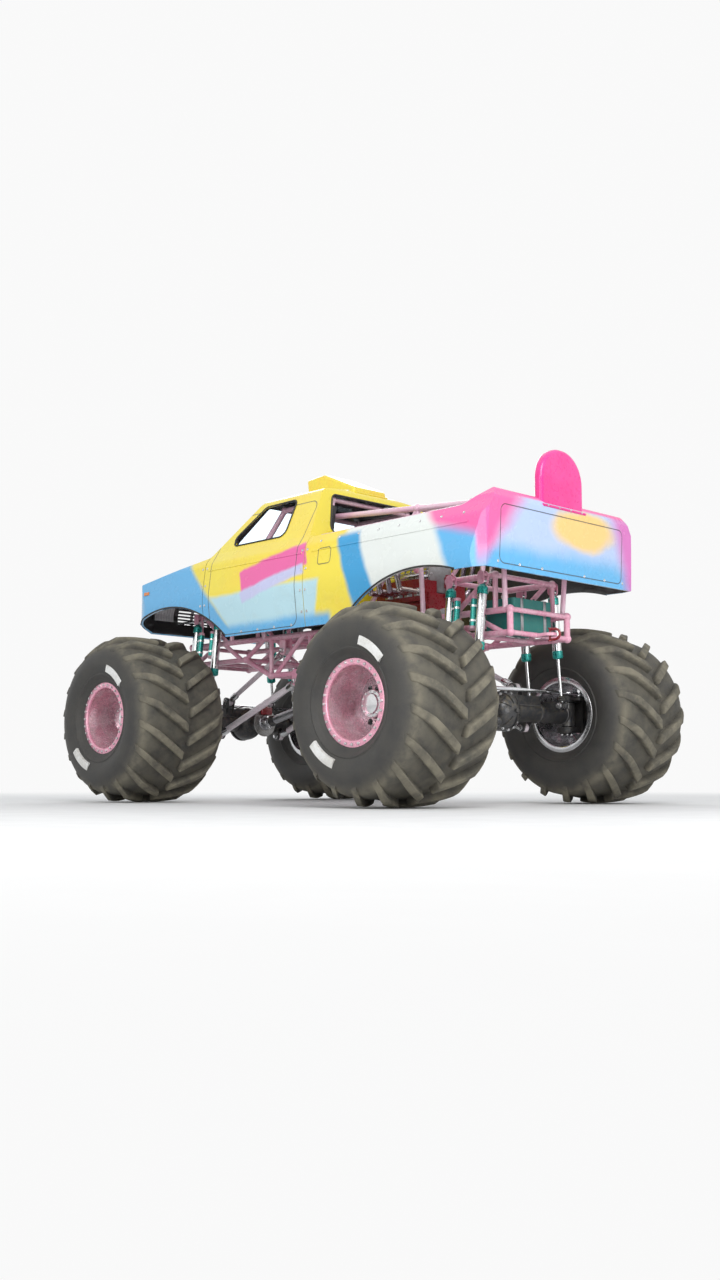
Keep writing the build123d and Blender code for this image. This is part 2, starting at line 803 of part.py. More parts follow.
def make_windscreen():
    """The windscreen, a pane inside the shell's thickness."""
    with BuildPart() as pane:
        add(shell_body(7))
        add(shell_body(15), mode=Mode.SUBTRACT)
        add(windscreen_opening(), mode=Mode.INTERSECT)
    return pane.part


def make_grille_and_lamps():
    """The grille's slats with their posts, and the two headlamps, all following the nose."""
    with BuildPart() as band:
        add(shell_body(3))
        add(shell_body(wall + 14), mode=Mode.SUBTRACT)
        block((2300, 2700), (-1000, 1000), (1500, 2300), Mode.INTERSECT)
    (grille_y, grille_z), left_lamp, right_lamp = NOSE_OPENINGS
    with BuildPart() as grille:
        for slat in range(grille_slats):
            pitch = (grille_z[1] - grille_z[0]) / grille_slats
            z = grille_z[0] + (slat + 0.5) * pitch
            block((2300, 2700), grille_y, (z - 9, z + 9))
        for y in (-240, 0, 240):
            block((2300, 2700), (y - 8, y + 8), grille_z)
        for y_range, z_range in (left_lamp, right_lamp):
            block((2300, 2700), y_range, z_range)
        add(band.part, mode=Mode.INTERSECT)
    return grille.part


def make_tail_fin(outer):
    """A plain rounded fin over the middle of the tailgate."""
    outline = (
        ((-fin_half_width, 2500), 0),
        ((-fin_half_width, fin_top), fin_rounding),
        ((fin_half_width, fin_top), fin_rounding),
        ((fin_half_width, 2500), 0),
    )
    with BuildPart() as fin:
        with BuildSketch(Plane.YZ.offset(fin_back_x)):
            add(closed_outline(outline))
        extrude(amount=fin_thickness)
        fillet(fin.edges().filter_by(Plane.YZ), 34)
        add(outer, mode=Mode.SUBTRACT)
    return fin.part


def make_roof_scoop(outer):
    """A plain air scoop on the roof, its mouth at the front."""
    profile = (((-150, 3000), 0), ((-150, 3130), 40), ((300, 3330), 90), ((560, 3310), 20), ((520, 3000), 0))
    with BuildPart() as scoop:
        with BuildSketch(Plane.XZ):
            add(closed_outline(profile))
        extrude(amount=230, both=True)
        fillet(scoop.faces().sort_by(Axis.Z)[-1].edges(), 30)
        # The mouth
        block((380, 700), (-190, 190), (3110, 3270), Mode.SUBTRACT)
        add(outer, mode=Mode.SUBTRACT)
    return scoop.part


def make_engine():
    """The engine as one plain block with its heads, sump and mounts."""
    with BuildPart() as engine:
        block((engine_rear_x, engine_front_x), (-engine_half_width, engine_half_width), (1460, 1960))
        block((engine_rear_x + 80, engine_front_x - 80), (-150, 150), (1350, 1460))
        for side in (1, -1):
            block((engine_rear_x + 30, engine_front_x - 30), (side * 90, side * 310), (1880, 2080))
            block((-960, -860), (side * 200, side * rail_y), (deck_z - 14, deck_z + 14))
            tube((-1500, side * rail_y, deck_z), (0, side * rail_y, deck_z), tube_radius, Mode.SUBTRACT)
        # The gearbox reaches forwards to the drop box
        block((engine_front_x, drop_box_middle + drop_box_half), (-150, 150), (1420, 1640))
    return engine.part


def make_supercharger():
    """The supercharger on the engine's back, with its drive and the intake hat."""
    low = 2080
    with BuildPart() as blower:
        block((-1090, -600), (-90, 90), (1960, low))
        block((-1090, -600), (-140, 140), (low, low + 240))
        for step in range(7):
            x = -1060 + step * 72
            block((x, x + 24), (-152, 152), (low + 40, low + 220))
        tube((-600, 0, low + 110), (-520, 0, low + 110), 80)
        # The intake hat with its forward mouth
        hat = (((-1060, low + 240), 0), ((-1060, 2520), 60), ((-640, 2560), 20), ((-640, low + 240), 0))
        with BuildSketch(Plane.XZ) as hat_side:
            add(closed_outline(hat))
        extrude(hat_side.sketch, amount=170, both=True)
        block((-760, -600), (-150, 150), (low + 290, 2530), Mode.SUBTRACT)
    return blower.part


def make_headers():
    """Eight header pipes: out from the heads, then up."""
    with BuildPart() as headers:
        for side in (1, -1):
            for number in range(4):
                x = -1100 + 125 * number
                bent_tube(
                    [
                        (x, side * 310, 1960),
                        (x, side * 560, 1960),
                        (x - 40, side * 640, 2080),
                        (x - 130, side * 680, 2560),
                    ],
                    header_radius,
                )
    return headers.part


def make_drop_box():
    """The drop box that joins the gearbox to both driveshafts."""
    low_x, high_x = drop_box_middle - drop_box_half, drop_box_middle + drop_box_half
    with BuildPart() as box:
        block((low_x, high_x), (-180, 180), (1070, 1420))
        fillet(box.edges().filter_by(Axis.X), 60)
    return box.part


def make_seat():
    """The driver's bucket seat in the middle of the cab."""
    side_view = (
        ((560, 1760), 40),
        ((560, 1930), 60),
        ((180, 1900), 60),
        ((60, 2600), 60),
        ((-90, 2600), 60),
        ((30, 1760), 60),
    )
    with BuildPart() as seat:
        with BuildSketch(Plane.XZ) as shell_side:
            add(closed_outline(side_view))
        extrude(shell_side.sketch, amount=260, both=True)
        block((60, 500), (-210, 210), (deck_z + 14, 1780))
    return seat.part


def make_steering_wheel():
    """The steering wheel and its column."""
    centre = Vector(760, 0, 2240)
    lean = Vector(-0.8, 0, 0.6)
    with BuildPart() as wheel:
        with Locations(Location(Plane(origin=centre, z_dir=lean))):
            Torus(160, 15)
            Cylinder(40, 30)
        for turn in range(3):
            spoke = Location(Plane(origin=centre, z_dir=lean)) * Location((0, 0, 0), (0, 0, 120 * turn))
            with Locations(spoke):
                Box(165, 24, 10, align=(Align.MIN, Align.CENTER, Align.CENTER))
        tube(centre, centre - lean * 420, 18)
    return wheel.part


def make_fuel_cell():
    """The fuel cell on the rear frame's cross tubes."""
    with BuildPart() as cell:
        block((-2195, -1870), (-270, 270), (end_rail_z + tube_radius, 1800))
        fillet(cell.edges().filter_by(Axis.Z), 30)
    return cell.part


def cut_panel(shell, low_x, high_x):
    """The part of the shell between two cross-planes."""
    with BuildPart() as panel:
        add(shell)
        block((low_x, high_x), (-1300, 1300), (1300, 3400), Mode.INTERSECT)
    return panel.part


def main():
    """Builds every piece and writes it."""
    os.makedirs("parts", exist_ok=True)
    tyre = make_tyre()
    for end, x, out in ENDS:
        for side_name, side in SIDES:
            name = f"{end}_{side_name}"
            save(tyre.moved(Location((x, side * half_track, axle_z))), f"tyre_{name}")
            save(make_rim(x, side), f"rim_{name}")
            save(make_hub(x, side), f"hub_{name}")
            save(make_knuckle(x, side, out), f"knuckle_{name}")
        save(make_tie_rod(x, out), f"tie_rod_{end}")
        save(make_ram_rod(x, out), f"ram_rod_{end}")
        save(make_axle(x, out), f"axle_housing_{end}")
        save(make_links(x, out), f"links_{end}")
        save(make_shocks(x, out), f"shocks_{end}")
    save(make_steering_rams(), "steering_rams")
    save(make_driveshafts(), "driveshafts")
    save(make_frame(), "frame")
    cab_cage = make_cab_cage()
    save(cab_cage, "cab_cage")
    save(make_bed_cage(cab_cage), "bed_cage")
    outer = shell_body(0)
    shell = make_shell(outer, shell_body(wall))
    save(cut_panel(shell, clip_x + panel_gap / 2, 2700), "body_front")
    save(cut_panel(shell, bed_x + panel_gap / 2, clip_x - panel_gap / 2), "body_cab")
    save(cut_panel(shell, -2700, bed_x - panel_gap / 2), "body_bed")
    save(make_windscreen(), "windscreen")
    save(make_grille_and_lamps(), "grille_and_lamps")
    save(make_tail_fin(outer), "tail_fin")
    save(make_roof_scoop(outer), "roof_scoop")
    save(make_engine(), "engine_block")
    save(make_supercharger(), "supercharger")
    save(make_headers(), "exhaust_headers")
    save(make_drop_box(), "drop_box")
    save(make_seat(), "driver_seat")
    save(make_steering_wheel(), "steering_wheel")
    save(make_fuel_cell(), "fuel_cell")


main()
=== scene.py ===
"""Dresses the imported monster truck: finishes for its nodes, wheels, running gear, body trim and cab.

Everything is in metres in the frame's own axes: +X forwards, +Y to the truck's left, +Z up.
A profile is a row of points (along the axis, radius) for a turned piece. A seat is the middle of a
bolt's foot with the way that the bolt stands out.
"""

import json
import logging
from dataclasses import dataclass, field
from enum import Enum
from math import asin, cos, exp, pi, radians, sin, tan
from typing import Callable, Iterable, Optional, Sequence

import bpy
from mathutils import Matrix, Vector
from mathutils.bvhtree import BVHTree

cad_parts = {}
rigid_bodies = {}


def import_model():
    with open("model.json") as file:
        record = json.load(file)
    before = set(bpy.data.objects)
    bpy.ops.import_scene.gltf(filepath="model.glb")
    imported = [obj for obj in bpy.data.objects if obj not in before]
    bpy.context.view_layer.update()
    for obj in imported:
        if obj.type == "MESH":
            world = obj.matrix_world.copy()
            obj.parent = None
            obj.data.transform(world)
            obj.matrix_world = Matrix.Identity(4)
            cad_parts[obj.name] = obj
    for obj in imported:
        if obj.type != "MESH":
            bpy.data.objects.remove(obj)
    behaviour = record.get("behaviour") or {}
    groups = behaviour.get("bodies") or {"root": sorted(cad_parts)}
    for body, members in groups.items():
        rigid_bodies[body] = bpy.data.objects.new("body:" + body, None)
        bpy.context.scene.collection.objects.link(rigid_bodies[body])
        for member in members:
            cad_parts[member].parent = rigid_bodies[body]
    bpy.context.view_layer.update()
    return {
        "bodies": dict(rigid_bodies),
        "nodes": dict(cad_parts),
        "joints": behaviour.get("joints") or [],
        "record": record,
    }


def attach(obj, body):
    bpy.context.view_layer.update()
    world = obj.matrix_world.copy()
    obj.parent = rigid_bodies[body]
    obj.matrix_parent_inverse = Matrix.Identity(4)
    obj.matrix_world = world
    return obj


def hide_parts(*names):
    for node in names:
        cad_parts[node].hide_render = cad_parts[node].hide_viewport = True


log = logging.getLogger("truck")

Piece = bpy.types.Object
Point = tuple[float, float, float]
Flat = tuple[float, float]
Colour = tuple[float, float, float]
Profile = Sequence[Flat]
Seat = tuple[Vector, Vector]

ENDS = (("front", 1), ("rear", -1))
SIDES = (("left", 1), ("right", -1))
SMOOTH_ANGLE = radians(35)
CASTING_ANGLE = radians(50)
BEAD_ANGLE = radians(60)
PAD_ANGLE = radians(70)


class Axis(Enum):
    """A direction of the frame."""

    X = (1.0, 0.0, 0.0)
    Y = (0.0, 1.0, 0.0)
    Z = (0.0, 0.0, 1.0)


X, Y, Z = (Vector(axis.value) for axis in Axis)


class Line(Enum):
    """How a curve runs through its points."""

    SMOOTH = "NURBS"
    STRAIGHT = "POLY"


@dataclass(frozen=True)
class Layout:
    """The truck's driving dimensions, the same as the solids'."""

    axle_x: float = 1.8034
    axle_z: float = 0.8382
    half_track: float = 1.3589
    tyre_radius: float = 0.8382
    rim_half: float = 0.4572
    disc_face: float = 0.082
    nose_face: float = 0.232
    kingpin_y: float = 0.980
    ear_top: float = 0.170
    arm: float = 0.150
    stud_top: float = 0.212
    pinion: float = 0.300
    yoke: float = 0.390
    drop_box_x: float = -0.250
    drop_box_half: float = 0.200
    drop_box_z: float = 1.160
    upper_link: tuple[Point, Point] = ((-0.050, 0.280, 1.0632), (0.760, 0.330, 1.545))
    lower_link: tuple[Point, Point] = ((-0.070, 0.420, 0.7032), (0.480, 0.400, 1.210))
    shock_offsets: Flat = (0.235, -0.130)
    shock_low: Flat = (0.600, 0.8982)
    shock_high: Flat = (0.490, 1.940)
    clip_x: float = 1.190
    bed_x: float = -0.345
    arch_z: float = 0.605
    arch_radius: float = 1.405

    def link_ends(self, end: int, side: int, upper: bool) -> tuple[Vector, Vector]:
        """A suspension link's eyes.

        Args:
            end: the sign of the axle's x.
            side: the sign of the link's y.
            upper: whether it is an upper link.

        Returns:
            The eye at the axle and the eye at the frame.
        """
        (offset, y, z), (frame_x, frame_y, frame_z) = self.upper_link if upper else self.lower_link
        axle_eye = Vector((end * (self.axle_x + offset), side * y, z))
        return axle_eye, Vector((end * frame_x, side * frame_y, frame_z))

    def shock_ends(self, end: int, side: int, offset: float) -> tuple[Vector, Vector]:
        """A shock absorber's eyes.

        Args:
            end: the sign of the axle's x.
            side: the sign of the shock absorber's y.
            offset: how far outwards of the axle it stands.

        Returns:
            The lower eye and the upper eye.
        """
        x = end * (self.axle_x + offset)
        (low_y, low_z), (high_y, high_z) = self.shock_low, self.shock_high
        return Vector((x, side * low_y, low_z)), Vector((x, side * high_y, high_z))


LAYOUT = Layout()


def mm(*sizes: float) -> tuple[Flat, ...]:
    """Pairs of sizes in metres from a row of millimetres."""
    return tuple((first / 1000, second / 1000) for first, second in zip(sizes[::2], sizes[1::2]))


# Modelling


def deselect() -> None:
    """Leaves object mode's selection empty."""
    if bpy.context.object and bpy.context.object.mode != "OBJECT":
        bpy.ops.object.mode_set(mode="OBJECT")
    bpy.ops.object.select_all(action="DESELECT")


def activate(*pieces: Piece) -> None:
    """Selects some pieces alone.

    Args:
        pieces: the pieces, of which the first becomes the active one.
    """
    deselect()
    for piece in pieces:
        piece.select_set(True)
    bpy.context.view_layer.objects.active = pieces[0]


def choose(piece: Piece, faces: Callable[[Vector], bool]) -> None:
    """Enters edit mode with only some faces selected.

    Args:
        piece: the mesh object.
        faces: says from a face's normal whether it is chosen.
    """
    activate(piece)
    bpy.ops.object.mode_set(mode="EDIT")
    bpy.ops.mesh.select_mode(type="FACE")
    bpy.ops.mesh.select_all(action="DESELECT")
    bpy.ops.object.mode_set(mode="OBJECT")
    for polygon in piece.data.polygons:
        polygon.select = faces(polygon.normal)
    bpy.ops.object.mode_set(mode="EDIT")


def edit_whole(piece: Piece) -> None:
    """Enters edit mode by vertices, with everything selected.

    Args:
        piece: the mesh object.
    """
    activate(piece)
    bpy.ops.object.mode_set(mode="EDIT")
    bpy.ops.mesh.select_mode(type="VERT")
    bpy.ops.mesh.select_all(action="SELECT")


def extrude(shift: Point) -> None:
    """Extrudes the selection in edit mode and moves what is new."""
    bpy.ops.mesh.extrude_region_move(TRANSFORM_OT_translate={"value": shift})


def modify(piece: Piece, kind: str, **settings: object) -> Piece:
    """Adds a modifier and applies it.

    Args:
        piece: the mesh object.
        kind: the modifier's type.
        settings: the modifier's settings.

    Returns:
        The same piece.
    """
    modifier = piece.modifiers.new(kind.lower(), kind)
    for key, value in settings.items():
        setattr(modifier, key, value)
    activate(piece)
    bpy.ops.object.modifier_apply(modifier=modifier.name)
    return piece


def soften(piece: Piece, width: float, segments: int = 2) -> Piece:
    """Rounds the piece's sharp edges."""
    limit = {"limit_method": "ANGLE", "angle_limit": radians(30)}
    return modify(piece, "BEVEL", width=width, segments=segments, **limit)


def smooth(piece: Piece, angle: float = SMOOTH_ANGLE) -> Piece:
    """Shades the piece smooth.

    Args:
        piece: the mesh object.
        angle: the angle between faces below which it is smooth.

    Returns:
        The same piece.
    """
    activate(piece)
    bpy.ops.object.shade_smooth_by_angle(angle=angle)
    return piece


def settle(piece: Piece) -> Piece:
    """Moves the piece's place into its mesh, so that its object sits at the origin.

    Args:
        piece: the mesh object.

    Returns:
        The same piece.
    """
    activate(piece)
    bpy.ops.object.transform_apply(location=True, rotation=True, scale=True)
    return piece


def outward(piece: Piece, capped: bool = False) -> Piece:
    """Merges doubles and turns every face outwards.

    Args:
        piece: the mesh object.
        capped: whether its open ends are closed with faces.

    Returns:
        The same piece.
    """
    edit_whole(piece)
    bpy.ops.mesh.remove_doubles(threshold=1e-6)
    if capped:
        bpy.ops.mesh.fill_holes(sides=0)
        bpy.ops.mesh.select_all(action="SELECT")
    bpy.ops.mesh.normals_make_consistent(inside=False)
    bpy.ops.object.mode_set(mode="OBJECT")
    return piece


def twin(piece: Piece) -> Piece:
    """A copy of a piece with its own mesh.

    Args:
        piece: the mesh object.

    Returns:
        The copy.
    """
    copy = bpy.data.objects.new(piece.name, piece.data.copy())
    bpy.context.collection.objects.link(copy)
    return copy


def pointing(place: Point, axis: Vector) -> Matrix:
    """How a piece modelled upright at the origin is placed to stand out along an axis."""
    return Matrix.Translation(place) @ Vector(axis).to_track_quat("Z", "Y").to_matrix().to_4x4()


def slab(name: str, low: Point, high: Point, rounding: float = 0.003, segments: int = 2) -> Piece:
    """A block between two opposite corners, with rounded edges.

    Args:
        name: the piece's name.
        low: one corner.
        high: the opposite corner.
        rounding: the radius of its edges.
        segments: how many facets each rounded edge has.

    Returns:
        The new object.
    """
    deselect()
    bpy.ops.mesh.primitive_cube_add(size=1, location=[(a + b) / 2 for a, b in zip(low, high)])
    piece = bpy.context.object
    piece.name = name
    piece.scale = [abs(b - a) for a, b in zip(low, high)]
    return smooth(soften(settle(piece), rounding, segments))


def turned(
    name: str,
    profile: Profile,
    centre: Point,
    axis: Vector,
    steps: int = 48,
    angle: float = 2 * pi,
) -> Piece:
    """A piece turned on a lathe. A profile that keeps off the axis is closed into a ring.

    Args:
        name: the piece's name.
        profile: points (along the axis, radius).
        centre: a point on the axis.
        axis: its direction.
        steps: how many facets the turn has.
        angle: how far it turns, half to each side of the start.

    Returns:
        The new object, its faces outwards.
    """
    deselect()
    bpy.ops.mesh.primitive_plane_add(size=1, location=(0, 0, 0))
    piece = bpy.context.object
    piece.name = name
    edit_whole(piece)
    bpy.ops.mesh.merge(type="CENTER")
    ring = list(profile)
    bpy.ops.transform.translate(value=(ring[0][1], 0, ring[0][0]))
    if ring[0][1] > 0 and ring[-1][1] > 0:
        ring.append(ring[0])
    for (last_along, last_radius), (along, radius) in zip(ring, ring[1:]):
        extrude((radius - last_radius, 0, along - last_along))
    bpy.ops.mesh.select_all(action="SELECT")
    bpy.ops.mesh.spin(steps=steps, angle=angle, center=(0, 0, 0), axis=(0, 0, 1))
    bpy.ops.object.mode_set(mode="OBJECT")
    start = Matrix.Rotation(-angle / 2 if angle < pi else 0.0, 4, "Z")
    piece.data.transform(pointing(centre, axis) @ start)
    return smooth(outward(piece, angle <= pi))


def hoop(foot: float, crown: float, inner: float, outer: float, middle: float = 0.0) -> Profile:
    """A band's profile: half as wide as given at its foot and at its crown, about a middle."""
    return ((middle - foot, inner), (middle - crown, outer), (middle + crown, outer), (middle + foot, inner))


def hexagon(name: str, centre: Point, axis: Vector, across: float, height: float) -> Piece:
    """A hexagonal bolt head or nut with a washer under it and a chamfered top.

    Args:
        name: the piece's name.
        centre: the middle of its seat.
        axis: the way that it stands out.
        across: its width over the points.
        height: how far it stands out.

    Returns:
        The new object.
    """
    deselect()
    size = {"radius": across / 2, "depth": height}
    bpy.ops.mesh.primitive_cylinder_add(vertices=6, location=(0, 0, height / 2), **size)
    piece = bpy.context.object
    piece.name = name
    choose(piece, lambda normal: normal.z > 0.9)
    bpy.ops.mesh.inset(thickness=across * 0.1, depth=height * 0.12)
    bpy.ops.object.mode_set(mode="OBJECT")
    choose(piece, lambda normal: normal.z < -0.9)
    extrude((0, 0, -height * 0.05))
    bpy.ops.transform.resize(value=(1.25, 1.25, 1))
    extrude((0, 0, -height * 0.15))
    bpy.ops.object.mode_set(mode="OBJECT")
    settle(piece)
    piece.data.transform(pointing(centre, axis) @ Matrix.Translation((0, 0, height * 0.2)))
    return smooth(piece)


def curve(name: str, points: Sequence[Point], line: Line, closed: bool = False, **settings: object) -> Piece:
    """The mesh of a curve through points.

    Args:
        name: the piece's name.
        points: the curve's points.
        line: how it runs through them.
        closed: joins its ends.
        settings: the curve's own settings, such as its bevel.

    Returns:
        The new mesh object.
    """
    deselect()
    data = bpy.data.curves.new(name, "CURVE")
    for key, value in settings.items():
        setattr(data, key, value)
    spline = data.splines.new(line.value)
    spline.points.add(len(points) - 1)
    for place, point in zip(spline.points, points):
        place.co = (*point, 1)
    if line is Line.SMOOTH:
        spline.order_u = min(3, len(points))
        spline.use_endpoint_u = True
    spline.use_cyclic_u = closed
    piece = bpy.data.objects.new(name, data)
    bpy.context.collection.objects.link(piece)
    activate(piece)
    bpy.ops.object.convert(target="MESH")
    return bpy.context.object


def pipe(name: str, points: Sequence[Point], radius: float, sides: int = 12, rings: int = 6) -> Piece:
    """A round bar with closed ends, bent smoothly by its control points."""
    bevel = {"bevel_depth": radius, "bevel_resolution": sides // 4, "use_fill_caps": True}
    return smooth(outward(curve(name, points, Line.SMOOTH, dimensions="3D", resolution_u=rings, **bevel)))


def bead(name: str, points: Sequence[Vector], radius: float, closed: bool = True) -> Piece:
    """A soft round bead or trim that follows points closely."""
    bevel = {"bevel_depth": radius, "bevel_resolution": 2, "use_fill_caps": not closed}
    return smooth(outward(curve(name, points, Line.STRAIGHT, closed, dimensions="3D", **bevel)), BEAD_ANGLE)


def joined(name: str, pieces: Sequence[Piece]) -> Piece:
    """One object of several meshes.

    Args:
        name: the joined piece's name.
        pieces: the meshes.

    Returns:
        The joined object.
    """
    activate(*pieces)
    if len(pieces) > 1:
        bpy.ops.object.join()
    piece = bpy.context.object
    piece.name = piece.data.name = name
    return piece


def copies(name: str, pattern: Piece, places: Iterable[Matrix]) -> Piece:
    """One object of a pattern's copies, which takes the pattern's place.

    Args:
        name: the joined piece's name.
        pattern: the piece that is modelled once.
        places: how each copy is moved from it.

    Returns:
        The joined object.
    """
    made = []
    for place in places:
        made.append(twin(pattern))
        made[-1].data.transform(place)
    bpy.data.objects.remove(pattern)
    return joined(name, made)


def about(centre: Vector, axis: Vector, count: int, first: float = 0.0) -> list[Matrix]:
    """Evenly spaced turns about an axis through a centre."""
    out, back = Matrix.Translation(centre), Matrix.Translation(-centre)
    return [out @ Matrix.Rotation(first + 2 * pi * step / count, 4, axis) @ back for step in range(count)]


def bolts(name: str, seats: Sequence[Seat], across: float, height: float) -> Piece:
    """Hexagonal heads at several seats, joined as one piece."""
    return copies(name, hexagon("bolt", (0, 0, 0), Z, across, height), [pointing(*seat) for seat in seats])


def ring_seats(centre: Vector, axis: Vector, radius: float, count: int, first: float = 0.0) -> list[Seat]:
    """Seats evenly spaced on a circle about an axis."""
    start = centre + axis.orthogonal().normalized() * radius
    return [(turn @ start, axis) for turn in about(centre, axis, count, first)]


def rounded_outline(corners: Sequence[Flat], radius: float, steps: int = 5) -> list[Flat]:
    """A closed outline with arcs at its corners.

    Args:
        corners: the sharp corners in order.
        radius: the arcs' radius.
        steps: how many points each arc has, less one.

    Returns:
        The outline's points.
    """
    points = []
    for number, corner in enumerate(corners):
        here = Vector(corner)
        before = (Vector(corners[number - 1]) - here).normalized()
        after = (Vector(corners[(number + 1) % len(corners)]) - here).normalized()
        half = before.angle(after) / 2
        reach = radius / tan(half)
        middle = here + (before + after).normalized() * (radius / sin(half))
        first = here + before * reach - middle
        last = here + after * reach - middle
        arms = [first.lerp(last, step / steps).normalized() for step in range(steps + 1)]
        points += [tuple(middle + arm * radius) for arm in arms]
    return points


def box(low: Flat, high: Flat) -> tuple[Flat, Flat, Flat, Flat]:
    """A rectangle's corners in order."""
    return low, (high[0], low[1]), high, (low[0], high[1])


class Skin:
    """The surface of some nodes, on which trim and fasteners lie."""

    def __init__(self, frame: dict, names: Sequence[str]) -> None:
        """Gathers the nodes' triangles.

        Args:
            frame: the loaded frame.
            names: the nodes' names.
        """
        points: list[Vector] = []
        faces: list[tuple[int, ...]] = []
        for name in names:
            mesh = frame["nodes"][name].data
            start = len(points)
            points += [vertex.co.copy() for vertex in mesh.vertices]
            faces += [tuple(start + index for index in polygon.vertices) for polygon in mesh.polygons]
        self.tree = BVHTree.FromPolygons(points, faces)

    def hit(self, start: Point, way: Vector) -> Optional[Seat]:
        """The first place that a ray meets, with the surface's normal there."""
        place, normal, _, _ = self.tree.ray_cast(Vector(start), way)
        return (place, normal) if place is not None else None

    def line(self, starts: Sequence[Point], way: Vector, lift: float = 0.0) -> list[Vector]:
        """The places that parallel rays meet, lifted off the surface."""
        found = [self.hit(start, way) for start in starts]
        return [place + normal * lift for place, normal in filter(None, found)]


# Finishes


class Nodes:
    """A material's node tree, with short calls for the nodes that the finishes share."""

    def __init__(self, name: str) -> None:
        """Makes the material with its shader and its Object coordinates.

        Args:
            name: the material's name.
        """
        self.material = bpy.data.materials.new(name)
        self.material.use_nodes = True
        self.tree = self.material.node_tree
        self.shader = self.tree.nodes["Principled BSDF"]
        coordinates = self.node("ShaderNodeTexCoord")
        self.place = coordinates.outputs["Object"]
        self.normal = coordinates.outputs["Normal"]
        self.x, self.y, self.z = self.parts(self.place)

    def node(self, kind: str, **values: object) -> bpy.types.Node:
        """A new node.

        Args:
            kind: the node's type.
            values: its properties.

        Returns:
            The node.
        """
        made = self.tree.nodes.new(kind)
        for key, value in values.items():
            setattr(made, key, value)
        return made

    def link(self, source: object, socket: bpy.types.NodeSocket) -> None:
        """Feeds a socket.

        Args:
            source: a number, a colour or vector, or another node's output.
            socket: the socket.
        """
        if isinstance(source, bpy.types.NodeSocket):
            self.tree.links.new(source, socket)
        elif isinstance(source, (int, float)):
            socket.default_value = source
        else:
            socket.default_value = (*source, 1.0) if len(source) == 3 and socket.type == "RGBA" else source

    def feed(self, kind: str, inputs: dict, output: object = 0, **values: object) -> object:
        """A new node's output.

        Args:
            kind: the node's type.
            inputs: what feeds its sockets.
            output: the output's name or number.
            values: its properties.

        Returns:
            The output.
        """
        made = self.node(kind, **values)
        for key, source in inputs.items():
            self.link(source, made.inputs[key])
        return made.outputs[output]

    def parts(self, vector: object) -> Sequence[object]:
        """A vector's three coordinates."""
        return self.feed("ShaderNodeSeparateXYZ", {0: vector}).node.outputs

    def math(self, operation: str, first: object, second: object = 0.0, clamp: bool = False) -> object:
        """A Math node's result."""
        return self.feed("ShaderNodeMath", {0: first, 1: second}, operation=operation, use_clamp=clamp)

    def plus(self, first: object, second: object, clamp: bool = False) -> object:
        """Two values added."""
        return self.math("ADD", first, second, clamp)

    def minus(self, first: object, second: object) -> object:
        """The second value taken from the first."""
        return self.math("SUBTRACT", first, second)

    def times(self, first: object, second: object, clamp: bool = False) -> object:
        """Two values multiplied."""
        return self.math("MULTIPLY", first, second, clamp)

    def size(self, value: object) -> object:
        """A value without its sign."""
        return self.math("ABSOLUTE", value)

    def length(self, first: object, second: object) -> object:
        """The length of a vector with these two coordinates."""
        return self.math("SQRT", self.plus(self.times(first, first), self.times(second, second)))

    def moved(self, shift: Point = (0, 0, 0), scale: Point = (1, 1, 1)) -> object:
        """The Object coordinates, moved and scaled."""
        return self.feed("ShaderNodeMapping", {"Vector": self.place, "Location": shift, "Scale": scale})

    def noise(self, scale: float, detail: float = 4.0, rough: float = 0.55, place: object = None) -> object:
        """Noise from 0 to 1."""
        inputs = {"Vector": place or self.place, "Scale": scale, "Detail": detail, "Roughness": rough}
        return self.feed("ShaderNodeTexNoise", inputs, "Fac")

    def between(self, value: object, low: float, high: float, first: float = 0, last: float = 1) -> object:
        """A value mapped smoothly from one range to another."""
        inputs = {"Value": value, "From Min": low, "From Max": high, "To Min": first, "To Max": last}
        return self.feed("ShaderNodeMapRange", inputs, "Result", interpolation_type="SMOOTHSTEP")

    def mix(self, share: object, first: object, second: object) -> object:
        """Two colours mixed."""
        return self.feed("ShaderNodeMix", {0: share, 6: first, 7: second}, 2, data_type="RGBA")

    def mottled(self, value: object, low: float, high: float, first: Colour, second: Colour) -> object:
        """Two colours mixed by a value between two limits."""
        return self.mix(self.between(value, low, high), first, second)

    def outline(self, across: object, line: "PanelLine", width: float) -> object:
        """A line along a rounded rectangle's edge.

        Args:
            across: the rectangle's first coordinate, the second being z.
            line: the rectangle.
            width: half the line's width.

        Returns:
            The line's mask, 1 on the line.
        """
        beyond = []
        for value, centre, reach in zip((across, self.z), line.middle, line.half):
            beyond.append(self.minus(self.size(self.minus(value, centre)), reach - line.rounding))
        far = self.length(*[self.math("MAXIMUM", value, 0.0) for value in beyond])
        inner = self.math("MINIMUM", self.math("MAXIMUM", *beyond), 0.0)
        distance = self.minus(self.plus(far, inner), line.rounding)
        return self.between(self.size(distance), width * 0.4, width, 1.0, 0.0)

    def bump(self, height: object, distance: float) -> object:
        """A Bump node's normal."""
        inputs = {"Height": height, "Distance": distance, "Strength": 1.0}
        return self.feed("ShaderNodeBump", inputs, "Normal")

    def set(self, **sockets: object) -> None:
        """Sets or feeds the shader's sockets, named with underscores for blanks."""
        for name, value in sockets.items():
            self.link(value, self.shader.inputs[name.replace("_", " ")])


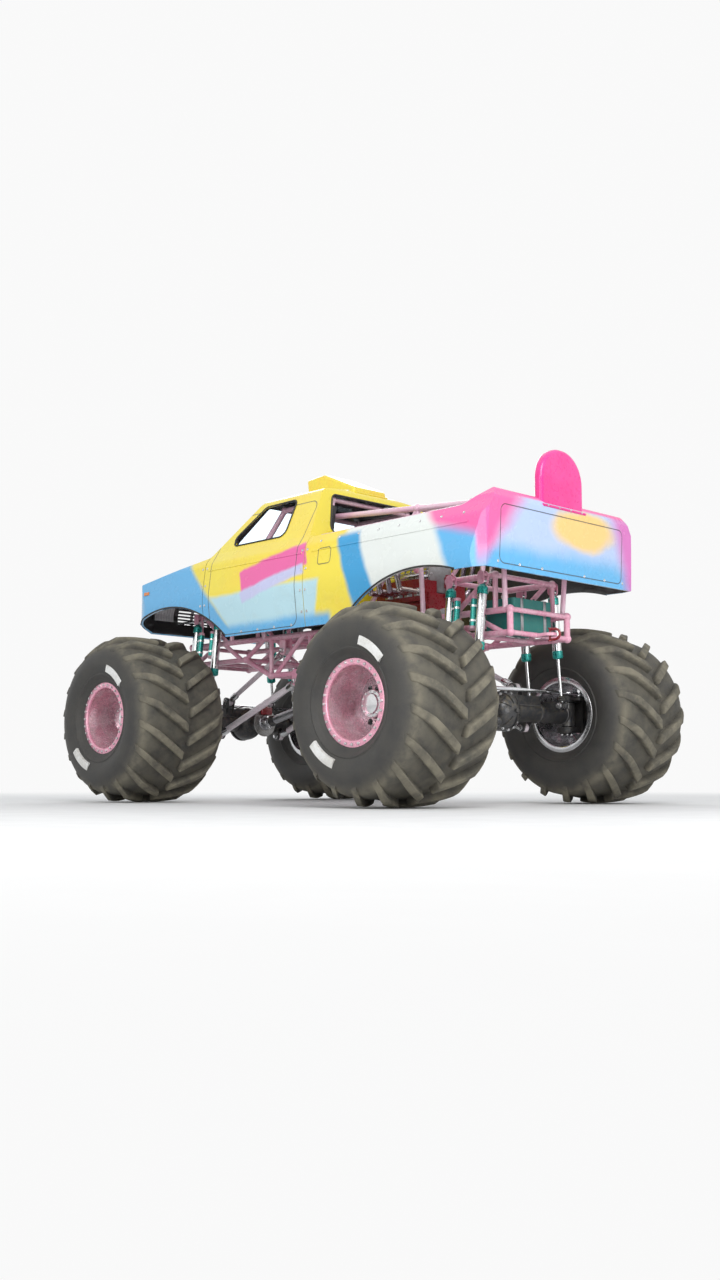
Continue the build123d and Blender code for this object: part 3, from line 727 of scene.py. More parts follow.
@dataclass(frozen=True)
class Finish:
    """A metal, paint, plastic or rubber with its own grain, wear and dust.

    Attributes are the name, the main and second colours, roughness and its spread, how metallic it is,
    the grain's scale per metre and its depth, the clear coat, and the share of dust that lies on it.
    """

    name: str
    colour: Colour
    second: Colour
    rough: float = 0.4
    spread: float = 0.12
    metal: float = 0.0
    grain: float = 60.0
    depth: float = 0.0004
    coat: float = 0.0
    dust: float = 0.25
    dust_colour: Colour = (0.30, 0.25, 0.15)

    def make(self) -> bpy.types.Material:
        """The finish as a material.

        Returns:
            The material.
        """
        nodes = Nodes(self.name)
        fine_detail, dust_detail = (1.5, 2.0) if self.coat else (6.0, 8.0)
        broad = nodes.noise(self.grain * 0.12, 5.0)
        fine = nodes.noise(self.grain, fine_detail, 0.6)
        blotch = nodes.plus(nodes.times(broad, 0.7), nodes.times(fine, 0.3))
        colour = nodes.mottled(blotch, 0.38, 0.66, self.colour, self.second)
        facing = nodes.parts(nodes.node("ShaderNodeNewGeometry").outputs["Normal"])
        settled = nodes.between(facing["Z"], -0.2, 0.9, 0.25, 1.0)
        speckle = nodes.between(nodes.noise(self.grain * 0.5, dust_detail, 0.7), 0.42, 0.7)
        dust = nodes.times(nodes.times(settled, speckle), self.dust, True)
        sheen = nodes.between(fine, 0.3, 0.7, self.rough - self.spread / 2, self.rough + self.spread / 2)
        nodes.set(
            Base_Color=nodes.mix(dust, colour, self.dust_colour),
            Roughness=nodes.plus(sheen, nodes.times(dust, 0.5), True),
            Normal=nodes.bump(nodes.plus(fine, nodes.times(speckle, self.dust)), self.depth),
            Metallic=self.metal,
        )
        if self.coat:
            nodes.set(Coat_Weight=self.coat, Coat_Roughness=0.06)
        return nodes.material


@dataclass(frozen=True)
class PaintZone:
    """A colour over part of the body, painted where all its edges are positive.

    An edge is (a, b, c, d) for a times x, plus b times |y|, plus c times z, plus d.
    """

    colour: Colour
    edges: tuple[tuple[float, float, float, float], ...]
    fade: float = 0.03


@dataclass(frozen=True)
class PanelLine:
    """A shut line moulded in the body: a rounded rectangle seen along Y or X."""

    middle: Flat
    half: Flat
    rounding: float
    from_side: bool = True


SKY = (0.10, 0.45, 0.80)
DEEP_BLUE = (0.01, 0.33, 0.66)
AQUA = (0.50, 0.76, 0.84)
CREAM = (0.80, 0.84, 0.80)
LAVENDER = (0.58, 0.60, 0.86)
TAILGATE_LAVENDER = (0.47, 0.60, 0.88)
YELLOW = (0.93, 0.76, 0.04)
WARM_YELLOW = (0.95, 0.71, 0.03)
ORANGE_YELLOW = (0.93, 0.62, 0.20)
PINK = (0.87, 0.11, 0.38)
PURPLE = (0.70, 0.16, 0.52)
HOT_PINK = (0.84, 0.02, 0.27)
EARTH = (0.33, 0.28, 0.18)

BODY_ZONES = (
    # Nose and front wings, in front of a slanted edge
    PaintZone(SKY, ((1, 0, -0.95, 0.85),), 0.05),
    # Lower door, pale, with a bluer sill
    PaintZone(AQUA, ((0, 0, -1, 2.06), (-1, 0, 0.9, -0.76), (1, 0, 0.25, 0.06)), 0.03),
    PaintZone(SKY, ((0, 0, -1, 1.74), (-1, 0, 0, 1.2), (1, 0, 0, 0.7)), 0.05),
    # Plain band on the door
    PaintZone(
        PINK, ((-0.2, 0, -1, 2.38), (0.2, 0, 1, -2.14), (-1, 0, 0.3, -0.06), (1, 0, -0.3, 1.06)), 0.02
    ),
    PaintZone(LAVENDER, ((-0.2, 0, -1, 2.17), (0.2, 0, 1, -2.06), (-1, 0, 0.3, -0.02), (1, 0, -0.3, 1)), 0.02),
    # Bed side
    PaintZone(CREAM, ((-1, 0, 0.25, -1.48), (0, 1, 0, -0.5)), 0.05),
    PaintZone(DEEP_BLUE, ((-1, 0, 0.35, -1.62), (1, 0, -0.35, 1.92), (0, 0, -1, 2.44)), 0.035),
    PaintZone(SKY, ((-1, 0, 0.5, -3.15), (0, 0, -1, 2.34)), 0.06),
    PaintZone(PINK, ((-1, 0, 0.9, -4.10), (-0.25, 0, 1, -2.85)), 0.07),
)

# Door, fuel flap and tailgate
PANEL_LINES = (
    PanelLine((0.43, 2.28), (0.66, 0.62), 0.09),
    PanelLine((-0.62, 2.27), (0.085, 0.075), 0.03),
    PanelLine((0.0, 2.24), (0.86, 0.245), 0.06, False),
)


def tyre_rubber() -> bpy.types.Material:
    """Dark rubber with dry olive dust in the tread and on the lugs.

    Returns:
        The material.
    """
    nodes = Nodes("tyre_rubber")
    radius, offset = wheel_place(nodes)
    fine = nodes.noise(260, 6.0, 0.65)
    patch = nodes.plus(nodes.noise(7, 8.0, 0.6), nodes.times(fine, 0.35))
    rubber = nodes.mottled(fine, 0.35, 0.65, (0.022, 0.022, 0.022), (0.040, 0.039, 0.038))
    carcass = nodes.minus(0.772, nodes.between(nodes.size(offset), 0.34, 0.51, 0.0, 0.10))
    raised = nodes.between(nodes.minus(radius, carcass), 0.004, 0.055)
    tread = nodes.between(radius, 0.62, 0.72)
    share = nodes.plus(nodes.plus(nodes.times(tread, 0.30), nodes.times(raised, 0.48)), 0.08)
    dust = nodes.times(share, nodes.between(patch, 0.42, 0.85, 0.30, 1.25), True)
    nodes.set(
        Base_Color=nodes.mix(dust, rubber, (0.215, 0.195, 0.145)),
        Roughness=nodes.between(nodes.plus(fine, dust), 0.3, 1.3, 0.5, 0.92),
        Normal=nodes.bump(nodes.plus(fine, nodes.times(dust, 1.2)), 0.0012),
    )
    return nodes.material


def wheel_place(nodes: Nodes) -> tuple[object, object]:
    """Where a point lies in the nearest of the four wheels.

    Args:
        nodes: the material's nodes.

    Returns:
        Its distance from the wheel's axis, and how far outboard of the wheel's middle it is.
    """
    x = nodes.minus(nodes.size(nodes.x), LAYOUT.axle_x)
    radius = nodes.length(x, nodes.minus(nodes.z, LAYOUT.axle_z))
    return radius, nodes.minus(nodes.size(nodes.y), LAYOUT.half_track)


def rim_paint() -> bpy.types.Material:
    """Pink pearl barrel with a bright machined centre disc and inboard flange.

    Returns:
        The material.
    """
    nodes = Nodes("rim_paint")
    radius, offset = wheel_place(nodes)
    grain = nodes.noise(60, 1.5)
    pink = nodes.mottled(nodes.noise(9, 4.0), 0.35, 0.65, (0.76, 0.36, 0.45), (0.84, 0.54, 0.61))
    bright = nodes.mottled(grain, 0.35, 0.65, (0.50, 0.50, 0.52), (0.62, 0.62, 0.64))
    in_disc = nodes.times(nodes.between(radius, 0.302, 0.306, 1, 0), nodes.between(offset, 0.040, 0.055))
    machined = nodes.math("MAXIMUM", in_disc, nodes.between(offset, 0.045, 0.055, 1, 0))
    dust = nodes.times(nodes.between(nodes.noise(16, 4.0, 0.6), 0.46, 0.75), 0.30)
    nodes.set(
        Base_Color=nodes.mix(dust, nodes.mix(machined, pink, bright), (0.30, 0.26, 0.19)),
        Metallic=nodes.plus(nodes.times(machined, 0.55), 0.35),
        Roughness=nodes.plus(nodes.between(grain, 0.3, 0.7, 0.2, 0.3), nodes.times(dust, 0.6)),
        Normal=nodes.bump(grain, 0.0001),
        Coat_Weight=0.4,
        Coat_Roughness=0.08,
    )
    return nodes.material


def body_paint() -> bpy.types.Material:
    """The body's airbrushed zones under a clear coat, its shut lines, and its dark unpainted inside.

    Returns:
        The material.
    """
    nodes = Nodes("body_paint")
    wobble = nodes.times(nodes.minus(nodes.noise(2.2, 3.0), 0.5), 0.16)
    x = nodes.plus(nodes.x, wobble)
    y = nodes.size(nodes.y)
    z = nodes.plus(nodes.z, nodes.times(wobble, 0.5))
    facing = nodes.parts(nodes.normal)
    colour = nodes.mottled(nodes.noise(1.7, 4.0), 0.4, 0.7, YELLOW, WARM_YELLOW)
    for zone in BODY_ZONES:
        share: object = 1.0
        for a, b, c, d in zone.edges:
            flat = nodes.plus(nodes.times(x, a), nodes.times(y, b))
            edge = nodes.plus(flat, nodes.plus(nodes.times(z, c), d))
            share = nodes.times(share, nodes.between(edge, -zone.fade, zone.fade))
        colour = nodes.mix(share, colour, zone.colour)
    colour = nodes.mix(nodes.between(nodes.x, -2.48, -2.43, 1, 0), colour, tailgate_colour(nodes, wobble))
    back_wall = nodes.times(nodes.between(facing["X"], -0.85, -0.7, 1, 0), nodes.between(x, -0.8, -0.7))
    colour = nodes.mix(back_wall, colour, YELLOW)
    haze = nodes.times(nodes.between(nodes.noise(6, 2.5, 0.6), 0.45, 0.75), 0.14)
    dust = nodes.times(haze, nodes.between(nodes.z, 1.6, 2.3, 1.0, 0.25))
    outside = outward_share(nodes)
    groove: object = 0.0
    for line in PANEL_LINES:
        if line.from_side:
            mark = nodes.outline(nodes.x, line, 0.006)
            there = nodes.between(nodes.size(facing["Y"]), 0.45, 0.6)
        else:
            mark = nodes.outline(nodes.y, line, 0.006)
            there = nodes.between(nodes.x, -2.47, -2.45, 1.0, 0.0)
        groove = nodes.math("MAXIMUM", groove, nodes.times(mark, there))
    groove = nodes.times(groove, outside)
    colour = nodes.mix(dust, colour, EARTH)
    colour = nodes.mix(nodes.times(groove, 0.85), colour, (0.03, 0.03, 0.035))
    inner = nodes.mottled(nodes.noise(160, 3.0), 0.4, 0.6, (0.012, 0.012, 0.013), (0.03, 0.03, 0.031))
    nodes.set(
        Base_Color=nodes.mix(outside, inner, colour),
        Roughness=nodes.plus(nodes.between(outside, 0, 1, 0.72, 0.26), dust),
        Normal=nodes.bump(nodes.minus(nodes.noise(5, 1.5), nodes.times(groove, 3.0)), 0.0012),
        Coat_Weight=0.75,
        Coat_Roughness=0.05,
    )
    return nodes.material


def outward_share(nodes: Nodes) -> object:
    """Tells the shell's outer face from its inner one, by the face's own normal.

    Args:
        nodes: the material's nodes.

    Returns:
        A mask, 1 on the outer face.
    """
    spine = nodes.moved((0.0, 0.0, -2.16), (0.22, 1.0, 1.0))
    facing = nodes.feed("ShaderNodeVectorMath", {0: spine, 1: nodes.normal}, "Value", operation="DOT_PRODUCT")
    return nodes.between(facing, -0.02, 0.02)


def tailgate_colour(nodes: Nodes, wobble: object) -> object:
    """The tailgate's bands: blue below, lavender, an orange-yellow middle, pink at the corners and top.

    Args:
        nodes: the material's nodes.
        wobble: what makes the bands' edges wander.

    Returns:
        The colour.
    """
    y, z = nodes.plus(nodes.y, wobble), nodes.plus(nodes.z, wobble)
    colour = nodes.mottled(z, 2.05, 2.25, SKY, TAILGATE_LAVENDER)
    middle, rise = nodes.minus(y, -0.28), nodes.minus(z, 2.40)
    spot = nodes.plus(nodes.times(middle, middle), nodes.times(nodes.times(rise, rise), 6.0))
    colour = nodes.mix(nodes.between(spot, 0.10, 0.30, 1, 0), colour, ORANGE_YELLOW)
    right = nodes.between(nodes.minus(nodes.times(y, -1.0), nodes.times(z, -0.4)), 1.62, 1.86)
    left = nodes.between(nodes.plus(y, nodes.times(z, 0.9)), 2.75, 3.05)
    colour = nodes.mix(left, nodes.mix(right, colour, PURPLE), PINK)
    return nodes.mix(nodes.between(nodes.z, 2.575, 2.60), colour, (0.88, 0.10, 0.36))


def tinted_glass() -> bpy.types.Material:
    """Smoke-tinted polycarbonate with faint scratches.

    Returns:
        The material.
    """
    nodes = Nodes("tinted_glass")
    scratches = nodes.noise(24, 2.0, 0.5, nodes.moved(scale=(1, 5, 1)))
    nodes.set(
        Base_Color=(0.30, 0.36, 0.40),
        Roughness=nodes.between(scratches, 0.4, 0.75, 0.02, 0.07),
        IOR=1.58,
        Normal=nodes.bump(scratches, 0.00003),
        Transmission_Weight=1.0,
    )
    return nodes.material


def grille_and_lens() -> bpy.types.Material:
    """Black grille slats in the middle and pearl lamp faces at the sides.

    Returns:
        The material.
    """
    nodes = Nodes("grille_and_lens")
    lamp = nodes.between(nodes.size(nodes.y), 0.44, 0.46)
    wave = {"Vector": nodes.place, "Scale": 9.0}
    flutes = nodes.feed("ShaderNodeTexWave", wave, "Fac", bands_direction="Y")
    grain = nodes.noise(150, 4.0)
    black = nodes.mix(grain, (0.015, 0.015, 0.017), (0.03, 0.03, 0.032))
    pearl = nodes.mottled(flutes, 0.2, 0.8, (0.72, 0.74, 0.76), (0.85, 0.87, 0.88))
    nodes.set(
        Base_Color=nodes.mix(lamp, black, pearl),
        Roughness=nodes.between(grain, 0.3, 0.7, 0.14, 0.3),
        Normal=nodes.bump(nodes.times(flutes, lamp), 0.003),
        Coat_Weight=0.7,
        Coat_Roughness=0.04,
    )
    return nodes.material


# Each row: name, colour, second colour, roughness, its spread, metal, grain, depth, coat and dust
FINISH_ROWS = (
    Finish("dark_cast", (0.035, 0.036, 0.04), (0.07, 0.068, 0.065), 0.5, 0.2, 0.6, 90, 0.0008, dust=0.4),
    Finish("axle_black", (0.03, 0.031, 0.035), (0.055, 0.054, 0.055), 0.38, 0.2, 0.2, coat=0.3, dust=0.45),
    Finish("chrome", (0.82, 0.83, 0.85), (0.7, 0.71, 0.73), 0.12, 0.1, 1.0, 50, 0.0001, dust=0.12),
    Finish("steel", (0.46, 0.46, 0.48), (0.36, 0.36, 0.37), 0.32, 0.15, 1.0, 120, 0.0002, dust=0.2),
    Finish("cast_aluminium", (0.55, 0.56, 0.57), (0.43, 0.43, 0.43), 0.42, 0.15, 0.9, 160, 0.0006, dust=0.2),
    Finish("polished_aluminium", (0.78, 0.79, 0.8), (0.66, 0.66, 0.67), 0.18, 0.12, 1, 70, 0.0002, dust=0.1),
    Finish("pink_frame", (0.78, 0.33, 0.46), (0.84, 0.50, 0.60), 0.3, 0.12, 0.0, 30, 0.0002, 0.6, 0.3),
    Finish("pale_cage", (0.88, 0.62, 0.72), (0.82, 0.46, 0.6), 0.3, 0.12, 0.0, 30, 0.0002, 0.6, 0.18),
    Finish("link_white", (0.80, 0.74, 0.77), (0.70, 0.58, 0.64), 0.3, 0.12, 0.1, 40, 0.0002, 0.5, 0.3),
    Finish("engine_red", (0.30, 0.02, 0.03), (0.20, 0.015, 0.02), 0.35, 0.2, 0.1, 60, 0.0005, 0.4, 0.25),
    Finish("teal", (0.02, 0.33, 0.30), (0.03, 0.45, 0.38), 0.28, 0.15, 0.6, 50, 0.0002, 0.3, 0.25),
    Finish("black_plastic", (0.02, 0.02, 0.022), (0.035, 0.035, 0.037), 0.5, 0.15, 0, 220, 0.0003, dust=0.3),
    Finish("seat_shell", (0.025, 0.025, 0.028), (0.045, 0.045, 0.05), 0.55, 0.15, 0.0, 180, dust=0.15),
    Finish("heat_steel", (0.62, 0.56, 0.50), (0.38, 0.33, 0.42), 0.25, 0.15, 1.0, 14, 0.0002, dust=0.1),
    Finish("bolt", (0.72, 0.72, 0.73), (0.5, 0.5, 0.5), 0.26, 0.12, 1.0, 200, 0.0002, dust=0.15),
    Finish("hot_pink", HOT_PINK, (0.86, 0.05, 0.33), 0.3, 0.1, 0.0, 20, 0.0002, 0.6, 0.06),
    Finish("scoop_yellow", YELLOW, (0.95, 0.62, 0.03), 0.28, 0.1, 0.0, 14, 0.0002, 0.8, 0.06),
    Finish("weld", (0.10, 0.10, 0.105), (0.17, 0.16, 0.16), 0.36, 0.2, 0.6, 180, 0.0012, dust=0.3),
    Finish("brake_steel", (0.36, 0.355, 0.35), (0.24, 0.23, 0.22), 0.3, 0.15, 0.9, 240, 0.0002),
    Finish("bump_rubber", (0.018, 0.018, 0.019), (0.03, 0.03, 0.03), 0.6, 0.15, 0, 260, 0.0003, dust=0.3),
    Finish("fuel_teal", (0.012, 0.17, 0.155), (0.016, 0.21, 0.185), 0.4, 0.15, 0.1, 40, 0.0003, dust=0.3),
    Finish("amber_lens", (0.80, 0.24, 0.02), (0.72, 0.19, 0.015), 0.15, 0.08, 0.0, 90, 0.0003, 0.8, 0.1),
    Finish("webbing", (0.55, 0.03, 0.13), (0.42, 0.02, 0.09), 0.75, 0.1, 0.0, 700, 0.0006, dust=0.05),
    Finish("seat_vinyl", (0.022, 0.022, 0.024), (0.036, 0.035, 0.038), 0.5, 0.18, 0, 420, 0.0006, dust=0.08),
    Finish("gauge_face", (0.7, 0.7, 0.68), (0.62, 0.62, 0.6), 0.25, 0.05, 0.0, 80, 0.0001, 0.7, 0.03),
    Finish("bar_white", (0.80, 0.80, 0.78), (0.66, 0.65, 0.61), 0.55, 0.2, 0.0, 60, 0.0003, dust=0.3),
    Finish("ring_pink", (0.86, 0.42, 0.53), (0.80, 0.33, 0.46), 0.24, 0.12, 0.35, 50, 0.0002, 0.5),
)
FINISHES = {finish.name: finish for finish in FINISH_ROWS}

PAINTERS = {
    "tyre": tyre_rubber,
    "rim": rim_paint,
    "body": body_paint,
    "glass": tinted_glass,
    "lamps": grille_and_lens,
}

# Each node's finish, by how its name starts
NODE_FINISHES = {
    "tyre": "tyre",
    "rim": "rim",
    "hub": "dark_cast",
    "knuckle": "dark_cast",
    "tie_rod": "chrome",
    "ram_rod": "chrome",
    "axle_housing": "axle_black",
    "links": "link_white",
    "shocks": "polished_aluminium",
    "steering_rams": "steel",
    "driveshafts": "steel",
    "frame": "pink_frame",
    "cab_cage": "pale_cage",
    "bed_cage": "pale_cage",
    "body": "body",
    "windscreen": "glass",
    "grille_and_lamps": "lamps",
    "tail_fin": "hot_pink",
    "roof_scoop": "scoop_yellow",
    "engine_block": "engine_red",
    "supercharger": "polished_aluminium",
    "exhaust_headers": "heat_steel",
    "drop_box": "cast_aluminium",
    "driver_seat": "seat_shell",
    "steering_wheel": "black_plastic",
    "fuel_cell": "fuel_teal",
}


@dataclass
class Truck:
    """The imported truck: what a piece rides on, and the materials made so far."""

    frame: dict
    made: dict[str, bpy.types.Material] = field(default_factory=dict)

    def material(self, name: str) -> bpy.types.Material:
        """A finish's material, made once.

        Args:
            name: the finish's name.

        Returns:
            The material.
        """
        if name not in self.made:
            self.made[name] = PAINTERS[name]() if name in PAINTERS else FINISHES[name].make()
        return self.made[name]

    def dress_nodes(self) -> None:
        """Gives every node of the frame its finish."""
        for name, node in self.frame["nodes"].items():
            kind = next(key for key in sorted(NODE_FINISHES, key=len, reverse=True) if name.startswith(key))
            if not node.material_slots:
                node.data.materials.append(None)
            for slot in node.material_slots:
                slot.material = self.material(NODE_FINISHES[kind])
            log.info("node %s finished as %s", name, NODE_FINISHES[kind])

    def add(self, piece: Piece, finish: str, body: str = "chassis", replaces: str = "") -> None:
        """Finishes a new piece and lets it ride on a body.

        Args:
            piece: the modelled mesh.
            finish: its finish's name.
            body: the body that carries it.
            replaces: the node that it stands for, if any.
        """
        settle(piece)
        piece.data.materials.clear()
        piece.data.materials.append(self.material(finish))
        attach(piece, body)
        if replaces:
            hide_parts(replaces)
        log.info("piece %s on %s, %d faces", piece.name, body, len(piece.data.polygons))

    def join(self, name: str, finish: str, pieces: Sequence[Piece], body: str = "chassis") -> None:
        """Adds several meshes as one piece."""
        self.add(joined(name, pieces), finish, body)

    def bolt(self, name: str, seats: Sequence[Seat], across: float, height: float) -> None:
        """Adds hexagonal heads at several seats to the chassis, as one piece."""
        self.add(bolts(name, seats, across, height), "bolt")

    def slabs(self, name: str, finish: str, rows: Sequence[tuple], rounding: float = 0.003) -> None:
        """Adds blocks between pairs of corners to the chassis, as one piece."""
        self.join(name, finish, [slab(name, *row, rounding) for row in rows])

    def lathes(
        self, name: str, finish: str, rows: Sequence[tuple], steps: int = 32, body: str = "chassis"
    ) -> None:
        """Adds turned pieces as one, each given by its profile, centre and axis."""
        self.join(name, finish, [turned(name, *row, steps) for row in rows], body)


# Wheels


@dataclass
class Tyre:
    """A flotation tyre with chevron lugs, modelled once at the origin on the Y axis."""

    lugs: int = 18
    lean: float = radians(33)
    width: float = 0.084
    depth: float = 0.10
    crown: float = 0.86
    root: float = 1.12
    turn: float = radians(13.33)
    inner: float = 0.018
    outer: float = 0.505
    stations: int = 9
    half: Profile = mm(
        0, 772, 160, 771, 300, 766, 400, 752, 465, 722, 506, 676, 534, 615, 544.5, 560, 538, 505,
        520, 462, 515, 448, 520, 436, 509, 420, 490, 402, 478, 386, 470, 362, 458, 352, 440, 348.5,
        440, 319.5
    )
    tips: Profile = mm(0, 838.2, 200, 837, 340, 826.2, 420, 775, 505, 700)

    def tip_radius(self, y: float) -> float:
        """The radius over the lugs' tips at a distance from the tyre's middle.

        Args:
            y: the distance.

        Returns:
            The radius.
        """
        for (low, first), (high, second) in zip(self.tips, self.tips[1:]):
            if y <= high:
                return first + (second - first) * (y - low) / (high - low)
        return self.tips[-1][1]

    def lug(self) -> Piece:
        """One lug at the top of the tyre, from a bar that is cut along its length and bent to the tread.

        Returns:
            The lug.
        """
        deselect()
        bpy.ops.mesh.primitive_cube_add(size=1, location=(0, 0, 0.5))
        piece = settle(bpy.context.object)
        bpy.ops.object.mode_set(mode="EDIT")
        for step in range(1, self.stations):
            bpy.ops.mesh.select_all(action="SELECT")
            bpy.ops.mesh.bisect(plane_co=(0, step / self.stations - 0.5, 0), plane_no=(0, 1, 0))
        bpy.ops.object.mode_set(mode="OBJECT")
        middle = (self.inner + self.outer) / 2
        for vertex in piece.data.vertices:
            across, along, up = vertex.co
            y = middle + along * (self.outer - self.inner)
            flare, sunk = (self.crown, 0.001) if up > 0.5 else (self.root, self.depth)
            sideways = (y - middle) * tan(self.lean) + across * self.width * flare / cos(self.lean)
            angle = asin(sideways / LAYOUT.tyre_radius)
            radius = self.tip_radius(y) - sunk
            vertex.co = (radius * sin(angle), y + across * 0.010, radius * cos(angle))
        return smooth(soften(piece, 0.010), CASTING_ANGLE)

    def make(self) -> Piece:
        """The whole tyre.

        Returns:
            The tyre at the origin.
        """
        left = self.lug()
        right = twin(left)
        right.data.transform(Matrix.Scale(-1, 4, Y))
        outward(right)
        whole = [(-along, radius) for along, radius in reversed(self.half[1:])] + list(self.half)
        rows = [
            copies("lugs", lug, about(Vector(), Y, self.lugs, first))
            for lug, first in ((left, self.turn), (right, self.turn + pi / self.lugs))
        ]
        return joined("tyre", [turned("carcass", whole, (0, 0, 0), Y, 120), *rows])


@dataclass
class AtAxle:
    """What is made once for each axle: the truck, the end's name and the sign of its x."""

    truck: Truck
    name: str
    end: int

    @property
    def middle(self) -> Vector:
        """The axle's middle."""
        return Vector((self.end * LAYOUT.axle_x, 0, LAYOUT.axle_z))


@dataclass
class AtWheel(AtAxle):
    """What is made once for each wheel, with the side's name and the sign of its y."""

    side_name: str
    side: int

    @property
    def where(self) -> str:
        """The wheel's place, as the bodies name it."""
        return f"{self.name}_{self.side_name}"

    @property
    def centre(self) -> Vector:
        """The wheel's middle."""
        return self.middle + Y * self.side * LAYOUT.half_track


@dataclass
class Wheel(AtWheel):
    """What each wheel carries: its tyre, plain sidewall bars, beadlock rings, bolts and hub cover."""

    tyre: Piece
    bars: int = 2
    bar_turn: float = radians(34)
    bar: Profile = mm(515, 468, 545.5, 472, 547.8, 500, 547.8, 530, 544.5, 545, 520, 545)
    ring: Profile = mm(-10, 300, 4, 304, 10, 312, 10, 350, 4, 360, -12, 364, -20, 352, -20, 318)
    cover: Profile = mm(0, 0, 0, 112, 6, 116, 18, 116, 24, 110, 26, 88, 40, 80, 46, 60, 46, 0)

    @staticmethod
    def circle(
        foot: Vector, out: Vector, across: float, height: float, count: int, first: float = 0.0
    ) -> Piece:
        """Bolt heads round the wheel's axis, from one whose foot is straight above it."""
        hub = Vector((foot.x, foot.y, LAYOUT.axle_z))
        return copies("bolts", hexagon("bolt", foot, out, across, height), about(hub, Y, count, first))

    def make(self) -> None:
        """Dresses one wheel, with a copy of the tyre that stands at the origin."""
        where, centre = self.where, self.centre
        body = f"wheel_{where}"
        out = Y * self.side
        flange = centre + out * LAYOUT.rim_half
        nose = centre + out * LAYOUT.nose_face
        rubber = copies(f"lugged_tyre_{where}", twin(self.tyre), [Matrix.Translation(centre)])
        self.truck.add(rubber, "tyre", body, f"tyre_{where}")
        bar = turned("bar", self.bar, centre, out, 14, self.bar_turn)
        bars = copies("bars", bar, about(centre, Y, self.bars, pi / 2))
        self.truck.join(f"sidewall_bars_{where}", "bar_white", [bars], body)
        self.truck.lathes(f"beadlock_ring_{where}", "ring_pink", [(self.ring, flange, out)], 72, body)
        inner = [(self.ring, centre - out * LAYOUT.rim_half, -out)]
        self.truck.lathes(f"bead_ring_{where}", "polished_aluminium", inner, 72, body)
        ring_bolts = self.circle(flange + out * 0.010 + Z * 0.332, out, 0.022, 0.011, 28)
        nuts = self.circle(centre + out * LAYOUT.disc_face + Z * 0.178, out, 0.046, 0.032, 10)
        self.truck.join(f"wheel_bolts_{where}", "bolt", [ring_bolts, nuts], body)
        self.truck.lathes(f"hub_cover_{where}", "polished_aluminium", [(self.cover, nose, out)], 48, body)
        cover_bolts = self.circle(nose + out * 0.024 + Z * 0.100, out, 0.018, 0.010, 12, 0.13)
        self.truck.join(f"hub_cover_bolts_{where}", "bolt", [cover_bolts], body)


# Running gear


